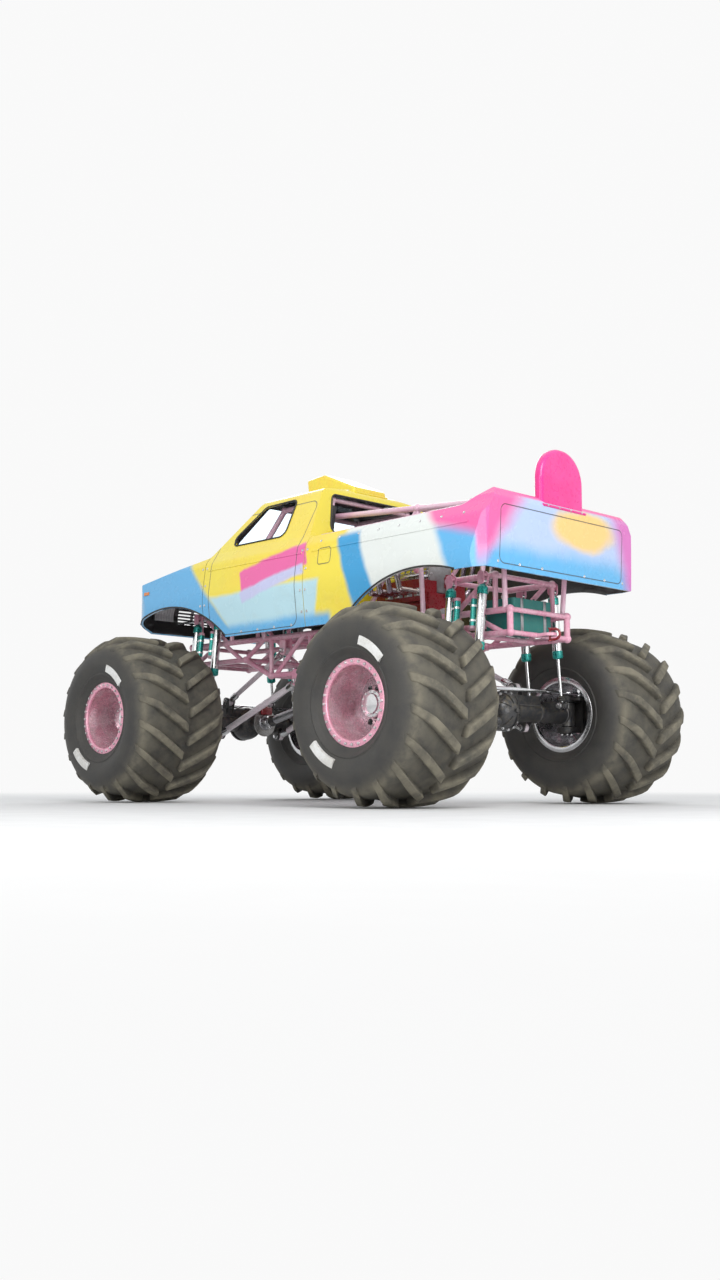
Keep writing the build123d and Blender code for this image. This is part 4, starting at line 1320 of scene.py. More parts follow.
@dataclass
class AxleDress(AtAxle):
    """What shows on an axle housing: cover, bolts, welds, brake and the pins of its clevises."""

    flange: Profile = mm(50, 150, 50, 184, 54, 188, 72, 188, 76, 184, 76, 150)
    dome: Profile = mm(74, 0, 74, 150, 96, 149, 118, 141, 142, 122, 162, 92, 176, 56, 183.5, 24, 183.5, 0)
    rib: Profile = mm(78, 145, 100, 150, 124, 145, 148, 127, 168, 96, 180, 62, 170, 60, 100, 120)
    disc: Profile = mm(-6, 52, -7, 144, -5, 150, 5, 150, 7, 144, 6, 52)
    hat: Profile = mm(-12, 40, -12, 78, -6, 82, 12, 82, 20, 74, 24, 40)
    weld_rings: Profile = mm(172, 92, 893, 93.5, 505, 92.5)
    link_clevis: float = 0.046
    shock_clevis: float = 0.038

    def make(self) -> None:
        """Dresses one axle."""
        self.cover()
        self.welds()
        self.brake()
        self.pins()

    def cover(self) -> None:
        """The differential's bolted cover with its ribs and plug."""
        middle, out = self.middle, X * self.end
        pieces = [turned("cover", profile, middle, out, 56) for profile in (self.flange, self.dome)]
        rib = turned("rib", self.rib, middle, out, 1, 0.06)
        pieces.append(copies("ribs", rib, about(middle, out, 8, 0.33)))
        pieces.append(hexagon("plug", middle + out * 0.1825, out, 0.042, 0.018))
        self.truck.join(f"diff_housing_{self.name}", "axle_black", pieces)
        seats = ring_seats(middle + out * 0.076, out, 0.169, 14, 0.2)
        self.truck.bolt(f"diff_bolts_{self.name}", seats, 0.024, 0.012)

    def welds(self) -> None:
        """Weld beads where the tubes, truss and kingpin yokes meet."""
        pieces = []
        for _, side in SIDES:
            for y, radius in self.weld_rings:
                ring = hoop(0.007, 0.003, radius - 0.004, radius + 0.003)
                pieces.append(turned("weld", ring, self.middle + Y * side * y, Y, 40))
            for x in (-0.071, 0.061):
                steps = [(0.17 + 0.33 * step / 22, 0.060 + 0.0015 * (step % 2)) for step in range(23)]
                line = [self.middle + Vector((x, side * y, z)) for y, z in steps]
                pieces.append(bead("seam", line, 0.0055, False))
        self.truck.join(f"axle_welds_{self.name}", "weld", pieces)

    def brake(self) -> None:
        """The brake disc on the pinion with its caliper, and the flange's bolts."""
        inward = X * -self.end
        place = self.middle + inward * (LAYOUT.pinion + 0.020)
        self.truck.lathes(f"pinion_brake_disc_{self.name}", "brake_steel", [(self.disc, place, inward)], 64)
        heads = bolts("hat_bolts", ring_seats(place + inward * 0.018, inward, 0.062, 8), 0.018, 0.012)
        hat = turned("hat", self.hat, place, inward, 40)
        self.truck.join(f"pinion_brake_hat_{self.name}", "steel", [hat, heads])
        for sign, half in ((1, "outer"), (-1, "inner")):
            low = place + inward * 0.010 * sign + Vector((0, -0.072, 0.082))
            high = place + inward * 0.046 * sign + Vector((0, 0.072, 0.166))
            pad = slab("pad", low, high, 0.012, 3)
            self.truck.join(f"pinion_caliper_{half}_{self.name}", "engine_red", [pad])
        low = place - inward * 0.030 + Vector((0, -0.030, 0.154))
        high = place + inward * 0.030 + Vector((0, 0.030, 0.176))
        self.truck.slabs(f"pinion_caliper_bridge_{self.name}", "engine_red", [(low, high)], 0.006)

    def pins(self) -> None:
        """The bolts and nuts through every clevis of the links and the shock absorbers."""
        eyes = []
        for _, side in SIDES:
            for upper in (True, False):
                eyes += [(eye, self.link_clevis) for eye in LAYOUT.link_ends(self.end, side, upper)]
            for offset in LAYOUT.shock_offsets:
                eyes.append((LAYOUT.shock_ends(self.end, side, offset)[0], self.shock_clevis))
        seats = [(eye + Y * way * half, Y * way) for eye, half in eyes for way in (1, -1)]
        self.truck.bolt(f"clevis_bolts_{self.name}", seats, 0.046, 0.022)


@dataclass
class LinkDress(AtAxle):
    """The threaded ends, lock nuts and bright bearing faces of the suspension links."""

    upper_radius: float = 0.026
    lower_radius: float = 0.032

    def make(self) -> None:
        """Dresses one axle's four links."""
        nuts = []
        sleeves = []
        for _, side in SIDES:
            for upper, r in ((True, self.upper_radius), (False, self.lower_radius)):
                first, last = LAYOUT.link_ends(self.end, side, upper)
                along = (last - first).normalized()
                taper = ((0.076, r), (0.080, r + 0.010), (0.140, r + 0.010), (0.168, r + 0.001))
                taper += ((0.168, r - 0.002), (0.076, r - 0.002))
                for eye, way in ((first, along), (last, -along)):
                    nuts.append((hoop(0.011, 0.008, r, r + 0.006, 0.063), eye, way))
                    sleeves.append((taper, eye, way))
        self.truck.lathes(f"link_nuts_{self.name}", "bolt", nuts, 6)
        self.truck.lathes(f"link_sleeves_{self.name}", "polished_aluminium", sleeves, 28)


@dataclass
class ShockDress(AtAxle):
    """The shock absorbers' caps, bands, wipers and their reservoirs, between each pair."""

    rod_share: float = 0.42
    body_radius: float = 0.042
    can_radius: float = 0.028
    can_shift: float = 0.086
    bump: Profile = mm(40, 16, 40, 34, 56, 38, 66, 30, 76, 36, 90, 24, 94, 16)

    def make(self) -> None:
        """Dresses one axle's four shock absorbers."""
        r = self.body_radius
        wiper = ((-0.012, 0.017), (-0.012, 0.030), (-0.004, r + 0.001), (0.004, r + 0.006))
        wiper += ((0.060, r + 0.006), (0.066, r), (0.066, r - 0.003), (0.0, 0.017))
        top = ((-0.070, r - 0.003), (-0.070, r), (-0.064, r + 0.006), (-0.010, r + 0.006))
        top += ((0.004, r - 0.004), (0.018, 0.024), (0.018, 0.012))
        caps = []
        bands = []
        bumpers = []
        cans = []
        knobs = []
        for _, side in SIDES:
            for offset in LAYOUT.shock_offsets:
                low, high = LAYOUT.shock_ends(self.end, side, offset)
                along = (high - low).normalized()
                start = low.lerp(high, self.rod_share)
                stop = low.lerp(high, 0.95)
                caps.append(turned("wiper", wiper, start, along, 36))
                caps.append(turned("top", top, stop, along, 36))
                for share in (0.30, 0.62):
                    band = hoop(0.006, 0.005, r - 0.001, r + 0.002)
                    bands.append(turned("band", band, start.lerp(stop, share), along, 36))
                bumpers.append((self.bump, low, along))
                shift = X * self.can_shift * self.end * (-1 if offset > 0 else 1)
                self.reservoir(start.lerp(stop, 0.34) + shift, along, shift, cans, knobs, bands)
        self.truck.join(f"shock_caps_{self.name}", "teal", caps)
        self.truck.join(f"shock_bands_{self.name}", "polished_aluminium", bands)
        self.truck.lathes(f"shock_bumpers_{self.name}", "bump_rubber", bumpers, 28)
        self.truck.lathes(f"shock_reservoirs_{self.name}", "teal", cans)
        self.truck.lathes(f"reservoir_caps_{self.name}", "pink_frame", knobs)

    def reservoir(
        self, base: Vector, along: Vector, shift: Vector, cans: list, knobs: list, bands: list
    ) -> None:
        """One reservoir, with its caps and the straps that tie it to its shock absorber.

        Args:
            base: the middle of its foot.
            along: the way that it stands.
            shift: how far it stands beside the shock absorber.
            cans: takes the reservoir.
            knobs: takes its caps.
            bands: takes its straps.
        """
        r = self.can_radius
        can = ((0, 0), (0, r - 0.004), (0.004, r), (0.280, r), (0.284, r - 0.004), (0.284, 0))
        cans.append((can, base, along))
        cap = ((-0.006, 0), (-0.006, r - 0.004), (-0.002, r + 0.002), (0.022, r + 0.002), (0.024, r - 0.002))
        cap += ((0.024, 0),)
        knobs += [(cap, base, along), (cap, base + along * 0.266, along)]
        half = Vector((self.can_shift * 0.11 + 0.008, 0.008, 0.008))
        for place in (0.07, 0.20):
            hold = base + along * place
            own = hold - shift
            for centre, radius in ((hold, r), (own, self.body_radius)):
                strap = hoop(0.009, 0.009, radius - 0.001, radius + 0.004)
                bands.append(turned("strap", strap, centre, along, 32))
            middle = own + shift * 0.53
            bands.append(slab("tie", middle - half, middle + half, 0.002))


@dataclass
class KnuckleDress(AtWheel):
    """The kingpin caps, stud nuts and hub flange of each steered wheel."""

    cap: Profile = mm(-1, 0, -1, 62, 10, 62, 14, 57, 16, 40, 22, 32, 22, 0)
    flange: Profile = mm(186, 148, 186, 166, 190, 170, 208, 170, 212, 166, 212, 148)

    def make(self) -> None:
        """Dresses one knuckle and the hub behind its wheel."""
        where, centre = self.where, self.centre
        body = f"knuckle_{where}"
        pin = self.middle + Y * self.side * LAYOUT.kingpin_y
        caps = []
        seats = []
        for way in (Z, -Z):
            face = pin + way * LAYOUT.ear_top
            caps.append((self.cap, face, way))
            seats += ring_seats(face + way * 0.014, way, 0.050, 6, 0.5)
        self.truck.lathes(f"kingpin_caps_{where}", "dark_cast", caps, 40, body)
        tip = pin + Vector((self.end * LAYOUT.arm, 0, LAYOUT.stud_top - 0.004))
        heads = [bolts("cap_bolts", seats, 0.018, 0.010), bolts("stud_nut", [(tip, Z)], 0.040, 0.022)]
        self.truck.join(f"knuckle_bolts_{where}", "bolt", heads, body)
        rib = slab("rib", (-0.005, -0.180, 0.148), (0.005, 0.050, 0.166), 0.003)
        rib.data.transform(Matrix.Translation(centre) @ Matrix.Scale(self.side, 4, Y))
        ribs = outward(copies("ribs", rib, about(centre, Y, 12)))
        flange = turned("flange", self.flange, centre, Y * -self.side, 56)
        self.truck.join(f"hub_flange_{where}", "dark_cast", [flange, ribs], f"wheel_{where}")


@dataclass
class DrivelineDress:
    """Universal joints, slip joint and the drop box's bolted face."""

    truck: Truck
    cap: Profile = mm(30, 0, 30, 26, 66, 26, 70, 22, 70, 0)
    collar: Profile = mm(40, 44, 50, 58, 72, 58, 85, 50, 120, 46.5, 120, 43)
    box_bolts: Profile = mm(145, 1120, 145, 1250, 145, 1370, 50, 1395, 80, 1095)
    box_ribs: tuple[float, ...] = (-0.39, -0.32, -0.25, -0.18, -0.11)

    def make(self) -> None:
        """Dresses both driveshafts and the drop box."""
        crosses = []
        collars = []
        for _, end in ENDS:
            yoke = Vector((end * (LAYOUT.axle_x - LAYOUT.yoke), 0, LAYOUT.axle_z))
            joint = Vector((LAYOUT.drop_box_x + end * (LAYOUT.drop_box_half + 0.09), 0, LAYOUT.drop_box_z))
            along = (joint - yoke).normalized()
            across = along.cross(Y).normalized()
            for centre, way in ((yoke, along), (joint, -along)):
                crosses += [(self.cap, centre, side) for side in (Y, -Y, across, -across)]
                collars.append((self.collar, centre, way))
            slip = yoke.lerp(joint, 0.62)
            seal = hoop(0.006, 0.004, 0.044, 0.052)
            collars += [(seal, slip + along * 0.018 * step, along) for step in range(5)]
        self.truck.lathes("universal_joint_caps", "bolt", crosses, 20)
        self.truck.lathes("driveshaft_collars", "axle_black", collars)
        self.drop_box()

    def drop_box(self) -> None:
        """The drop box's bolts, ribs and end plates."""
        seats = []
        rows = [((x - 0.006, -0.188, 1.14), (x + 0.006, 0.188, 1.35)) for x in self.box_ribs]
        for way in (1, -1):
            face = LAYOUT.drop_box_x + way * LAYOUT.drop_box_half
            seats += [(Vector((face, side * y, z)), X * way) for y, z in self.box_bolts for _, side in SIDES]
            plate = face - way * 0.004
            rows.append(((plate - 0.008, -0.165, 1.082), (plate + 0.008, 0.165, 1.408)))
        self.truck.bolt("drop_box_bolts", seats, 0.024, 0.012)
        self.truck.slabs("drop_box_ribs", "cast_aluminium", rows, 0.004)


# Engine


@dataclass
class EngineDress:
    """Valve covers, blower drive, intake plates, header flanges, block ribs and the magneto."""

    truck: Truck
    cover_x: Flat = (-1.105, -0.575)
    head_top: float = 2.080
    belt_x: float = -0.492
    belt_half: float = 0.026
    pulleys: tuple[Flat, Flat] = ((2.190, 0.082), (1.760, 0.070))
    header_x: tuple[float, ...] = (-1.100, -0.975, -0.850, -0.725)
    breather: Profile = mm(0, 0, 0, 20, 30, 20, 32, 34, 40, 37, 66, 37, 72, 32, 72, 0)
    tip: Profile = mm(-30, 26.5, -28, 31, -2, 31, 2, 28.5, 0, 22, -30, 22)
    plug: Profile = mm(0, 0, 0, 24, 4, 26, 7, 24, 3, 20, 3, 0)
    oil_can: Profile = mm(0, 0, 0, 30, 6, 44, 20, 47, 118, 47, 130, 40, 134, 20, 134, 0)
    magneto: Profile = mm(0, 0, 0, 34, 50, 34, 56, 48, 150, 48, 166, 36, 176, 36, 176, 0)
    end_plate: Profile = mm(-4, 0, -4, 170, 10, 170, 14, 166, 14, 128, 30, 118, 34, 70, 52, 64, 54, 0)

    def make(self) -> None:
        """Dresses the engine."""
        self.valve_covers()
        self.drive()
        self.intake()
        self.headers()
        self.block()
        self.accessories()
        self.blower()

    def valve_covers(self) -> None:
        """A ribbed cover with bolts and a breather on each head."""
        low, high = self.cover_x
        pieces = []
        seats = []
        breathers = []
        for _, side in SIDES:
            foot = (low, side * 0.168, self.head_top - 0.002)
            pieces.append(slab("cover", foot, (high, side * 0.300, self.head_top + 0.052), 0.014, 3))
            for number in range(5):
                y = side * (0.190 + 0.022 * number)
                foot = (low + 0.03, y - 0.004, self.head_top + 0.046)
                pieces.append(slab("fin", foot, (high - 0.03, y + 0.004, self.head_top + 0.062), 0.002))
            for x in (low + 0.03, (low + high) / 2, high - 0.03):
                seats += [(Vector((x, side * y, self.head_top)), Z) for y in (0.160, 0.306)]
            breathers.append((self.breather, Vector((low + 0.09, side * 0.232, self.head_top + 0.050)), Z))
        self.truck.join("valve_covers", "polished_aluminium", pieces)
        self.truck.lathes("engine_breathers", "pink_frame", breathers)
        self.truck.bolt("valve_cover_bolts", seats, 0.022, 0.012)

    def drive(self) -> None:
        """The belt from the crankshaft to the blower, with both pulleys."""
        made = []
        half = self.belt_half
        for z, radius in self.pulleys:
            centre = Vector((self.belt_x, 0, z))
            rim = [(-half - 0.008, 0.018), (-half - 0.008, radius + 0.010), (-half - 0.002, radius + 0.010)]
            rim += [(-half, radius - 0.003)]
            rim += [(-along, r) for along, r in reversed(rim)]
            made.append(turned("pulley", rim, centre, X))
            made.append(hexagon("nut", centre + X * half, X, 0.046, 0.018))
            made.append(turned("web", hoop(0.006, 0.010, 0.014, radius - 0.012), centre, X))
        self.truck.join("blower_pulleys", "polished_aluminium", made)
        self.truck.add(self.belt(), "bump_rubber")
        nose = ((0.0, 0), (0.0, 0.060), (0.026, 0.054), (0.026, 0))
        self.truck.lathes("crank_nose", "steel", [(nose, Vector((-0.522, 0, self.pulleys[1][0])), X)])

    def belt(self) -> Piece:
        """The belt, a band round both pulleys.

        Returns:
            The belt.
        """
        top, bottom = self.pulleys
        tilt = asin((top[1] - bottom[1]) / (top[0] - bottom[0]))
        outline = []
        for (z, radius), first, last in ((top, -tilt, pi + tilt), (bottom, pi + tilt, 2 * pi - tilt)):
            for step in range(25):
                angle = first + (last - first) * step / 24
                outline.append((self.belt_x - self.belt_half, cos(angle) * radius, z + sin(angle) * radius))
        deselect()
        bpy.ops.mesh.primitive_circle_add(vertices=len(outline), radius=1)
        piece = bpy.context.object
        piece.name = "blower_belt"
        for vertex, place in zip(piece.data.vertices, outline):
            vertex.co = place
        edit_whole(piece)
        extrude((2 * self.belt_half, 0, 0))
        bpy.ops.object.mode_set(mode="OBJECT")
        return smooth(modify(outward(piece), "SOLIDIFY", thickness=0.007, offset=1.0))

    def intake(self) -> None:
        """The throttle plates in the hat's mouth, its lip, and the bolts of hat and blower."""
        bore = ((-0.030, 0.044), (0.012, 0.044), (0.016, 0.048), (-0.030, 0.048))
        disc = ((-0.002, 0), (-0.002, 0.041), (0.002, 0.041), (0.002, 0))
        plates = [pipe("shaft", ((-0.716, -0.150, 2.450), (-0.716, 0.150, 2.450)), 0.006)]
        for y in (-0.098, 0.0, 0.098):
            plates.append(turned("plate", disc, (-0.720, y, 2.450), X + Z * 0.55, 32))
            plates.append(turned("bore", bore, (-0.716, y, 2.450), X, 32))
        self.truck.join("throttle_plates", "brake_steel", plates)
        seats = []
        for _, side in SIDES:
            spots = [(x, 0.17017, 2.336) for x in (-1.03, -0.94, -0.85, -0.76, -0.67)]
            spots += [(x, 0.1403, 2.100) for x in (-1.06, -0.90, -0.74, -0.63)]
            seats += [(Vector((x, side * y, z)), Y * side) for x, y, z in spots]
        self.truck.bolt("blower_bolts", seats, 0.020, 0.010)
        lip = rounded_outline(box((-0.160, 2.362), (0.160, 2.540)), 0.02)
        self.truck.add(bead("hat_lip", [Vector((-0.636, y, z)) for y, z in lip], 0.007), "pink_frame")

    def headers(self) -> None:
        """A bolted flange and a tip collar on each header pipe."""
        flanges = []
        seats = []
        collars = []
        weld = ((0.010, 0.026), (0.012, 0.031), (0.020, 0.031), (0.024, 0.026))
        for _, side in SIDES:
            out = Y * side
            for x in self.header_x:
                foot = Vector((x, side * 0.321, 1.96))
                corners = ((x - 0.052, side * 0.309, 1.922), (x + 0.052, side * 0.321, 1.998))
                flanges.append(slab("flange", *corners, 0.010, 3))
                collars.append((weld, foot - out * 0.011, out))
                seats += [(foot + X * step, out) for step in (-0.040, 0.040)]
                tip = Vector((x - 0.130, side * 0.680, 2.560))
                collars.append((self.tip, tip, (tip - Vector((x - 0.040, side * 0.640, 2.080))).normalized()))
        self.truck.join("header_flanges", "steel", flanges)
        self.truck.lathes("header_collars", "chrome", collars)
        self.truck.bolt("header_bolts", seats, 0.018, 0.010)

    def block(self) -> None:
        """The block's side ribs, core plugs and sump bolts."""
        pieces = []
        plugs = []
        seats = []
        for _, side in SIDES:
            near, far, outer = side * 0.228, side * 0.240, side * 0.246
            for x in (-1.08, -0.94, -0.80, -0.66, -0.60):
                pieces.append(slab("rib", (x - 0.008, near, 1.50), (x + 0.008, far, 1.86), 0.004))
            pieces.append(slab("rail", (-1.14, near, 1.472), (-0.54, outer, 1.500), 0.005))
            pieces.append(slab("deck", (-1.14, near, 1.850), (-0.54, outer, 1.874), 0.005))
            plugs += [(self.plug, Vector((x, side * 0.230, 1.64)), Y * side) for x in (-1.01, -0.87, -0.73)]
            seats += [(Vector((-1.10 + 0.065 * number, side * 0.238, 1.472)), -Z) for number in range(9)]
        self.truck.join("block_ribs", "engine_red", pieces)
        self.truck.lathes("core_plugs", "steel", plugs, 28)
        self.truck.bolt("sump_bolts", seats, 0.016, 0.009)

    def accessories(self) -> None:
        """The oil filter and the magneto."""
        foot = Vector((-0.600, 0.232, 1.560))
        self.truck.lathes("oil_filter", "hot_pink", [(self.oil_can, foot, Y - Z * 0.5)], 36)
        body = turned("magneto", self.magneto, (-1.205, 0, 1.960), Z, 36)
        foot = slab("magneto_foot", (-1.250, -0.036, 1.925), (-1.158, 0.036, 1.962), 0.006)
        self.truck.join("magneto", "engine_red", [body, foot])

    def blower(self) -> None:
        """Cooling ribs and end plates on the blower, ribs on its hat, and the engine's round end cover."""
        rows = []
        for number in range(9):
            z = 2.010 + 0.034 * number
            for _, side in SIDES:
                rows.append(((-1.062, side * 0.138, z - 0.005), (-0.628, side * 0.156, z + 0.005)))
        rows += [((x - 0.009, -0.150, 1.985), (x + 0.009, 0.150, 2.318)) for x in (-1.090, -0.618)]
        hat = (-0.10, -0.06, -0.02, 0.02, 0.06, 0.10)
        rows += [((-1.055, y - 0.004, 2.553), (-0.655, y + 0.004, 2.568)) for y in hat]
        self.truck.slabs("blower_ribs", "cast_aluminium", rows)
        seats = []
        spots = mm(-130, 2005, 130, 2005, -130, 2300, 130, 2300, -130, 2150, 130, 2150, 0, 2300)
        for x, way in ((-1.099, -X), (-0.609, X)):
            seats += [(Vector((x, y, z)), way) for y, z in spots]
        end = Vector((-1.160, 0, 1.66))
        seats += ring_seats(end - X * 0.014, -X, 0.150, 12)
        self.truck.bolt("blower_end_bolts", seats, 0.020, 0.010)
        self.truck.lathes("engine_end_cover", "cast_aluminium", [(self.end_plate, end, -X)], 56)


# Body and cab


@dataclass
class BodyDress:
    """Trim that lies on the shell: seals, arch lips, lamp bezels and fasteners."""

    truck: Truck
    window: Sequence[Flat] = mm(960, 2570, 580, 2945, 130, 2955, 90, 2570)
    windscreen: Sequence[Flat] = mm(-790, 2570, -610, 2985, 610, 2985, 790, 2570)
    rear_window: Sequence[Flat] = mm(-680, 2580, -570, 2980, 570, 2980, 680, 2580)
    lamp: Sequence[Flat] = box((0.500, 1.980), (0.760, 2.130))
    grille: Sequence[Flat] = box((-0.430, 1.960), (0.430, 2.140))
    scoop: Sequence[Flat] = box((-0.158, -0.238), (0.530, 0.238))
    mesh_y: tuple[float, ...] = (-0.15, -0.11, -0.07, -0.03, 0.01, 0.05, 0.09, 0.13, 0.17)
    button: Profile = mm(-1, 0, -1, 13, 2.5, 13, 4, 10, 2, 8, 2, 0)
    hood_pin: Profile = mm(-2, 0, -2, 34, 3, 34, 5, 28, 5, 10, 28, 9, 34, 4, 34, 0)
    pin_clip: Sequence[Point] = (
        *((-0.028, 0, 0.020), (0.0, 0, 0.020), (0.034, 0, 0.020)),
        *((0.046, 0.012, 0.020), (0.034, 0.024, 0.020), (0.006, 0.016, 0.020)),
    )

    def make(self) -> None:
        """Makes every trim piece."""
        self.skin = Skin(self.truck.frame, ("body_front", "body_cab", "body_bed", "grille_and_lamps"))
        self.seals()
        self.lips()
        self.bezels()
        self.fasteners()
        self.rails()
        self.nose()
        self.feet()

    @staticmethod
    def fine_outline(corners: Sequence[Flat], radius: float, grow: float = 0.0) -> list[Flat]:
        """A rounded outline with extra points along its straight sides.

        Args:
            corners: the outline's sharp corners.
            radius: the radius at the corners.
            grow: how far the corners are first moved away from their middle.

        Returns:
            The outline's points.
        """
        spots = [Vector(corner) for corner in corners]
        middle = sum(spots, Vector((0, 0))) / len(spots)
        rough = rounded_outline([spot + (spot - middle).normalized() * grow for spot in spots], radius)
        points = []
        for number, point in enumerate(rough):
            here, following = Vector(point), Vector(rough[(number + 1) % len(rough)])
            pieces = max(1, round((following - here).length / 0.05))
            points += [tuple(here.lerp(following, step / pieces)) for step in range(pieces)]
        return points

    def seals(self) -> None:
        """Rubber seals round the windows."""
        front = self.fine_outline(self.windscreen, 0.07, 0.014)
        rear = self.fine_outline(self.rear_window, 0.07, 0.014)
        pieces = [
            bead("seal", self.skin.line([(2.2, y, z) for y, z in front], -X), 0.011),
            bead("seal", self.skin.line([(-1.0, y, z) for y, z in rear], X), 0.010),
        ]
        for _, side in SIDES:
            starts = [(x, side * 1.5, z) for x, z in self.fine_outline(self.window, 0.07, 0.014)]
            pieces.append(bead("seal", self.skin.line(starts, Y * -side), 0.010))
        self.truck.join("window_seals", "bump_rubber", pieces)

    def lips(self) -> None:
        """The rolled edge round each wheel arch."""
        pieces = []
        radius = LAYOUT.arch_radius + 0.009
        for _, end in ENDS:
            for _, side in SIDES:
                starts = []
                for step in range(121):
                    angle = radians(35 + 110 * step / 120)
                    x, z = end * LAYOUT.axle_x + radius * cos(angle), LAYOUT.arch_z + radius * sin(angle)
                    starts.append((x, side * 1.5, z))
                line = self.skin.line(starts, Y * -side, -0.002)
                pieces.append(bead("lip", [point for point in line if abs(point.y) > 0.9], 0.009, False))
        self.truck.join("arch_lips", "bump_rubber", pieces)

    def bezels(self) -> None:
        """Bright frames round the lamps and the grille."""
        pieces = []
        for corners in (self.lamp, [(-y, z) for y, z in self.lamp], self.grille):
            starts = [(3.0, y, z) for y, z in self.fine_outline(corners, 0.024, 0.010)]
            pieces.append(bead("bezel", self.skin.line(starts, -X), 0.010))
        self.truck.join("nose_bezels", "chrome", pieces)

    def fasteners(self) -> None:
        """Quarter-turn fasteners along the panel joints and the sills."""
        rays = []
        joints = [x + way * 0.035 for x in (LAYOUT.clip_x, LAYOUT.bed_x) for way in (1, -1)]
        for _, side in SIDES:
            spots = [(x, z) for x in joints for z in (1.78, 1.98, 2.18, 2.36)]
            spots += [(x, 1.672) for x in (-0.15, 0.10, 0.35, 0.60)]
            spots += [(x, 2.42) for x in (-2.30, -2.05, -1.80, -1.55, -1.30, -1.05, -0.80, -0.55)]
            rays += [((x, side * 1.5, z), Y * -side) for x, z in spots]
            rays += [((x, side * 0.80, 3.0), -Z) for x in (1.45, 1.70, 1.95, 2.20)]
            rays += [((-3.0, side * y, 2.005), X) for y in (0.30, 0.60, 0.88)]
        rays += [((x, y, 3.0), -Z) for y in (-0.75, -0.45, -0.15, 0.15, 0.45, 0.75) for x in joints[:2]]
        seats = filter(None, [self.skin.hit(start, way) for start, way in rays])
        button = turned("button", self.button, (0, 0, 0), Z, 18)
        self.truck.add(copies("panel_fasteners", button, [pointing(*seat) for seat in seats]), "bolt")

    def rails(self) -> None:
        """The rolled caps along the bed's rails."""
        pieces = []
        for _, side in SIDES:
            line = self.skin.line([(-0.46 - 0.05 * step, side * 0.935, 3.0) for step in range(38)], -Z, 0.003)
            pieces.append(bead("rail", [point for point in line if point.z < 2.75], 0.014, False))
        self.truck.join("bed_rail_caps", "pale_cage", pieces)

    def overlay(self, low: Point, high: Point, way: Vector) -> Piece:
        """A thin raised plate that follows the shell: a grid whose points are dropped on it.

        Args:
            low: one corner, clear of the shell.
            high: the opposite corner, in the same plane across the way.
            way: the way that the points drop.

        Returns:
            The plate.
        """
        deselect()
        bpy.ops.mesh.primitive_grid_add(x_subdivisions=10, y_subdivisions=10, size=1)
        piece = bpy.context.object
        for vertex in piece.data.vertices:
            a, b = vertex.co.x + 0.5, vertex.co.y + 0.5
            start = [first + (last - first) * share for first, last, share in zip(low, high, (a, a, b))]
            place, normal = self.skin.hit(start, way)
            vertex.co = place + normal * 0.001
        outward(piece)
        if piece.data.polygons[0].normal.dot(way) > 0:
            piece.data.flip_normals()
        return smooth(soften(modify(piece, "SOLIDIFY", thickness=0.008, offset=1.0), 0.003))

    def nose(self) -> None:
        """The nose's rubber strip, amber side lamps, hood creases and hood pins."""
        strip = self.skin.line([(3.0, -1.0 + 0.05 * step, 1.905) for step in range(41)], -X)
        self.truck.add(bead("nose_strip", strip, 0.017, False), "bump_rubber")
        lamps = []
        creases = []
        pins = []
        for _, side in SIDES:
            lamps.append(self.overlay((3.0, side * 0.795, 1.99), (3.0, side * 0.885, 2.12), -X))
            lamps.append(self.overlay((2.15, side * 1.6, 2.19), (2.24, side * 1.6, 2.225), Y * -side))
            for y in (0.42, 0.78):
                starts = [(1.24 + 0.05 * step, side * (y - 0.004 * step), 3.0) for step in range(24)]
                creases.append(bead("crease", self.skin.line(starts, -Z, -0.004), 0.011, False))
            for first, count in ((-2.36, 33), (-0.30, 25)):
                starts = [(first + 0.06 * step, side * 1.6, 2.335) for step in range(count)]
                creases.append(bead("body_line", self.skin.line(starts, Y * -side, -0.004), 0.010, False))
            for x, y in ((2.32, 0.60), (1.30, 0.88)):
                pins.append(pointing(*self.skin.hit((x, side * y, 3.0), -Z)))
        self.truck.join("amber_lamps", "amber_lens", lamps)
        self.truck.join("body_creases", "body", creases)
        pin = [turned("pin", self.hood_pin, (0, 0, 0), Z, 24), pipe("clip", self.pin_clip, 0.0028, 8, 5)]
        self.truck.add(copies("hood_pins", joined("pin", pin), pins), "bolt")

    def feet(self) -> None:
        """The flanges and bolts that hold the tail fin and the roof scoop on the shell."""
        skin = Skin(self.truck.frame, ("body_bed", "body_cab"))
        pieces = []
        rays = []
        for x in (-2.552, -2.438):
            line = skin.line([(x, -0.30 + 0.05 * step, 3.2) for step in range(13)], -Z, 0.002)
            pieces.append(bead("foot", line, 0.013, False))
            rays += [(x, y, 3.2) for y in (-0.24, -0.08, 0.08, 0.24)]
        self.truck.join("fin_foot", "hot_pink", pieces)
        line = skin.line([(x, y, 3.6) for x, y in self.fine_outline(self.scoop, 0.03)], -Z, 0.002)
        self.truck.add(bead("scoop_foot", line, 0.012), "scoop_yellow")
        rays += [(x, side * 0.262, 3.6) for x in (-0.10, 0.08, 0.26, 0.44) for _, side in SIDES]
        found = filter(None, [skin.hit(start, -Z) for start in rays])
        seats = [(place + way * 0.002, way) for place, way in found]
        self.truck.bolt("fin_and_scoop_bolts", seats, 0.024, 0.010)
        rows = [((0.380, -0.186, z - 0.003), (0.386, 0.186, z + 0.003)) for z in (3.14, 3.17, 3.20, 3.23)]
        rows += [((0.386, y - 0.003, 3.114), (0.392, y + 0.003, 3.262)) for y in self.mesh_y]
        self.truck.slabs("scoop_mesh", "black_plastic", rows, 0.001)


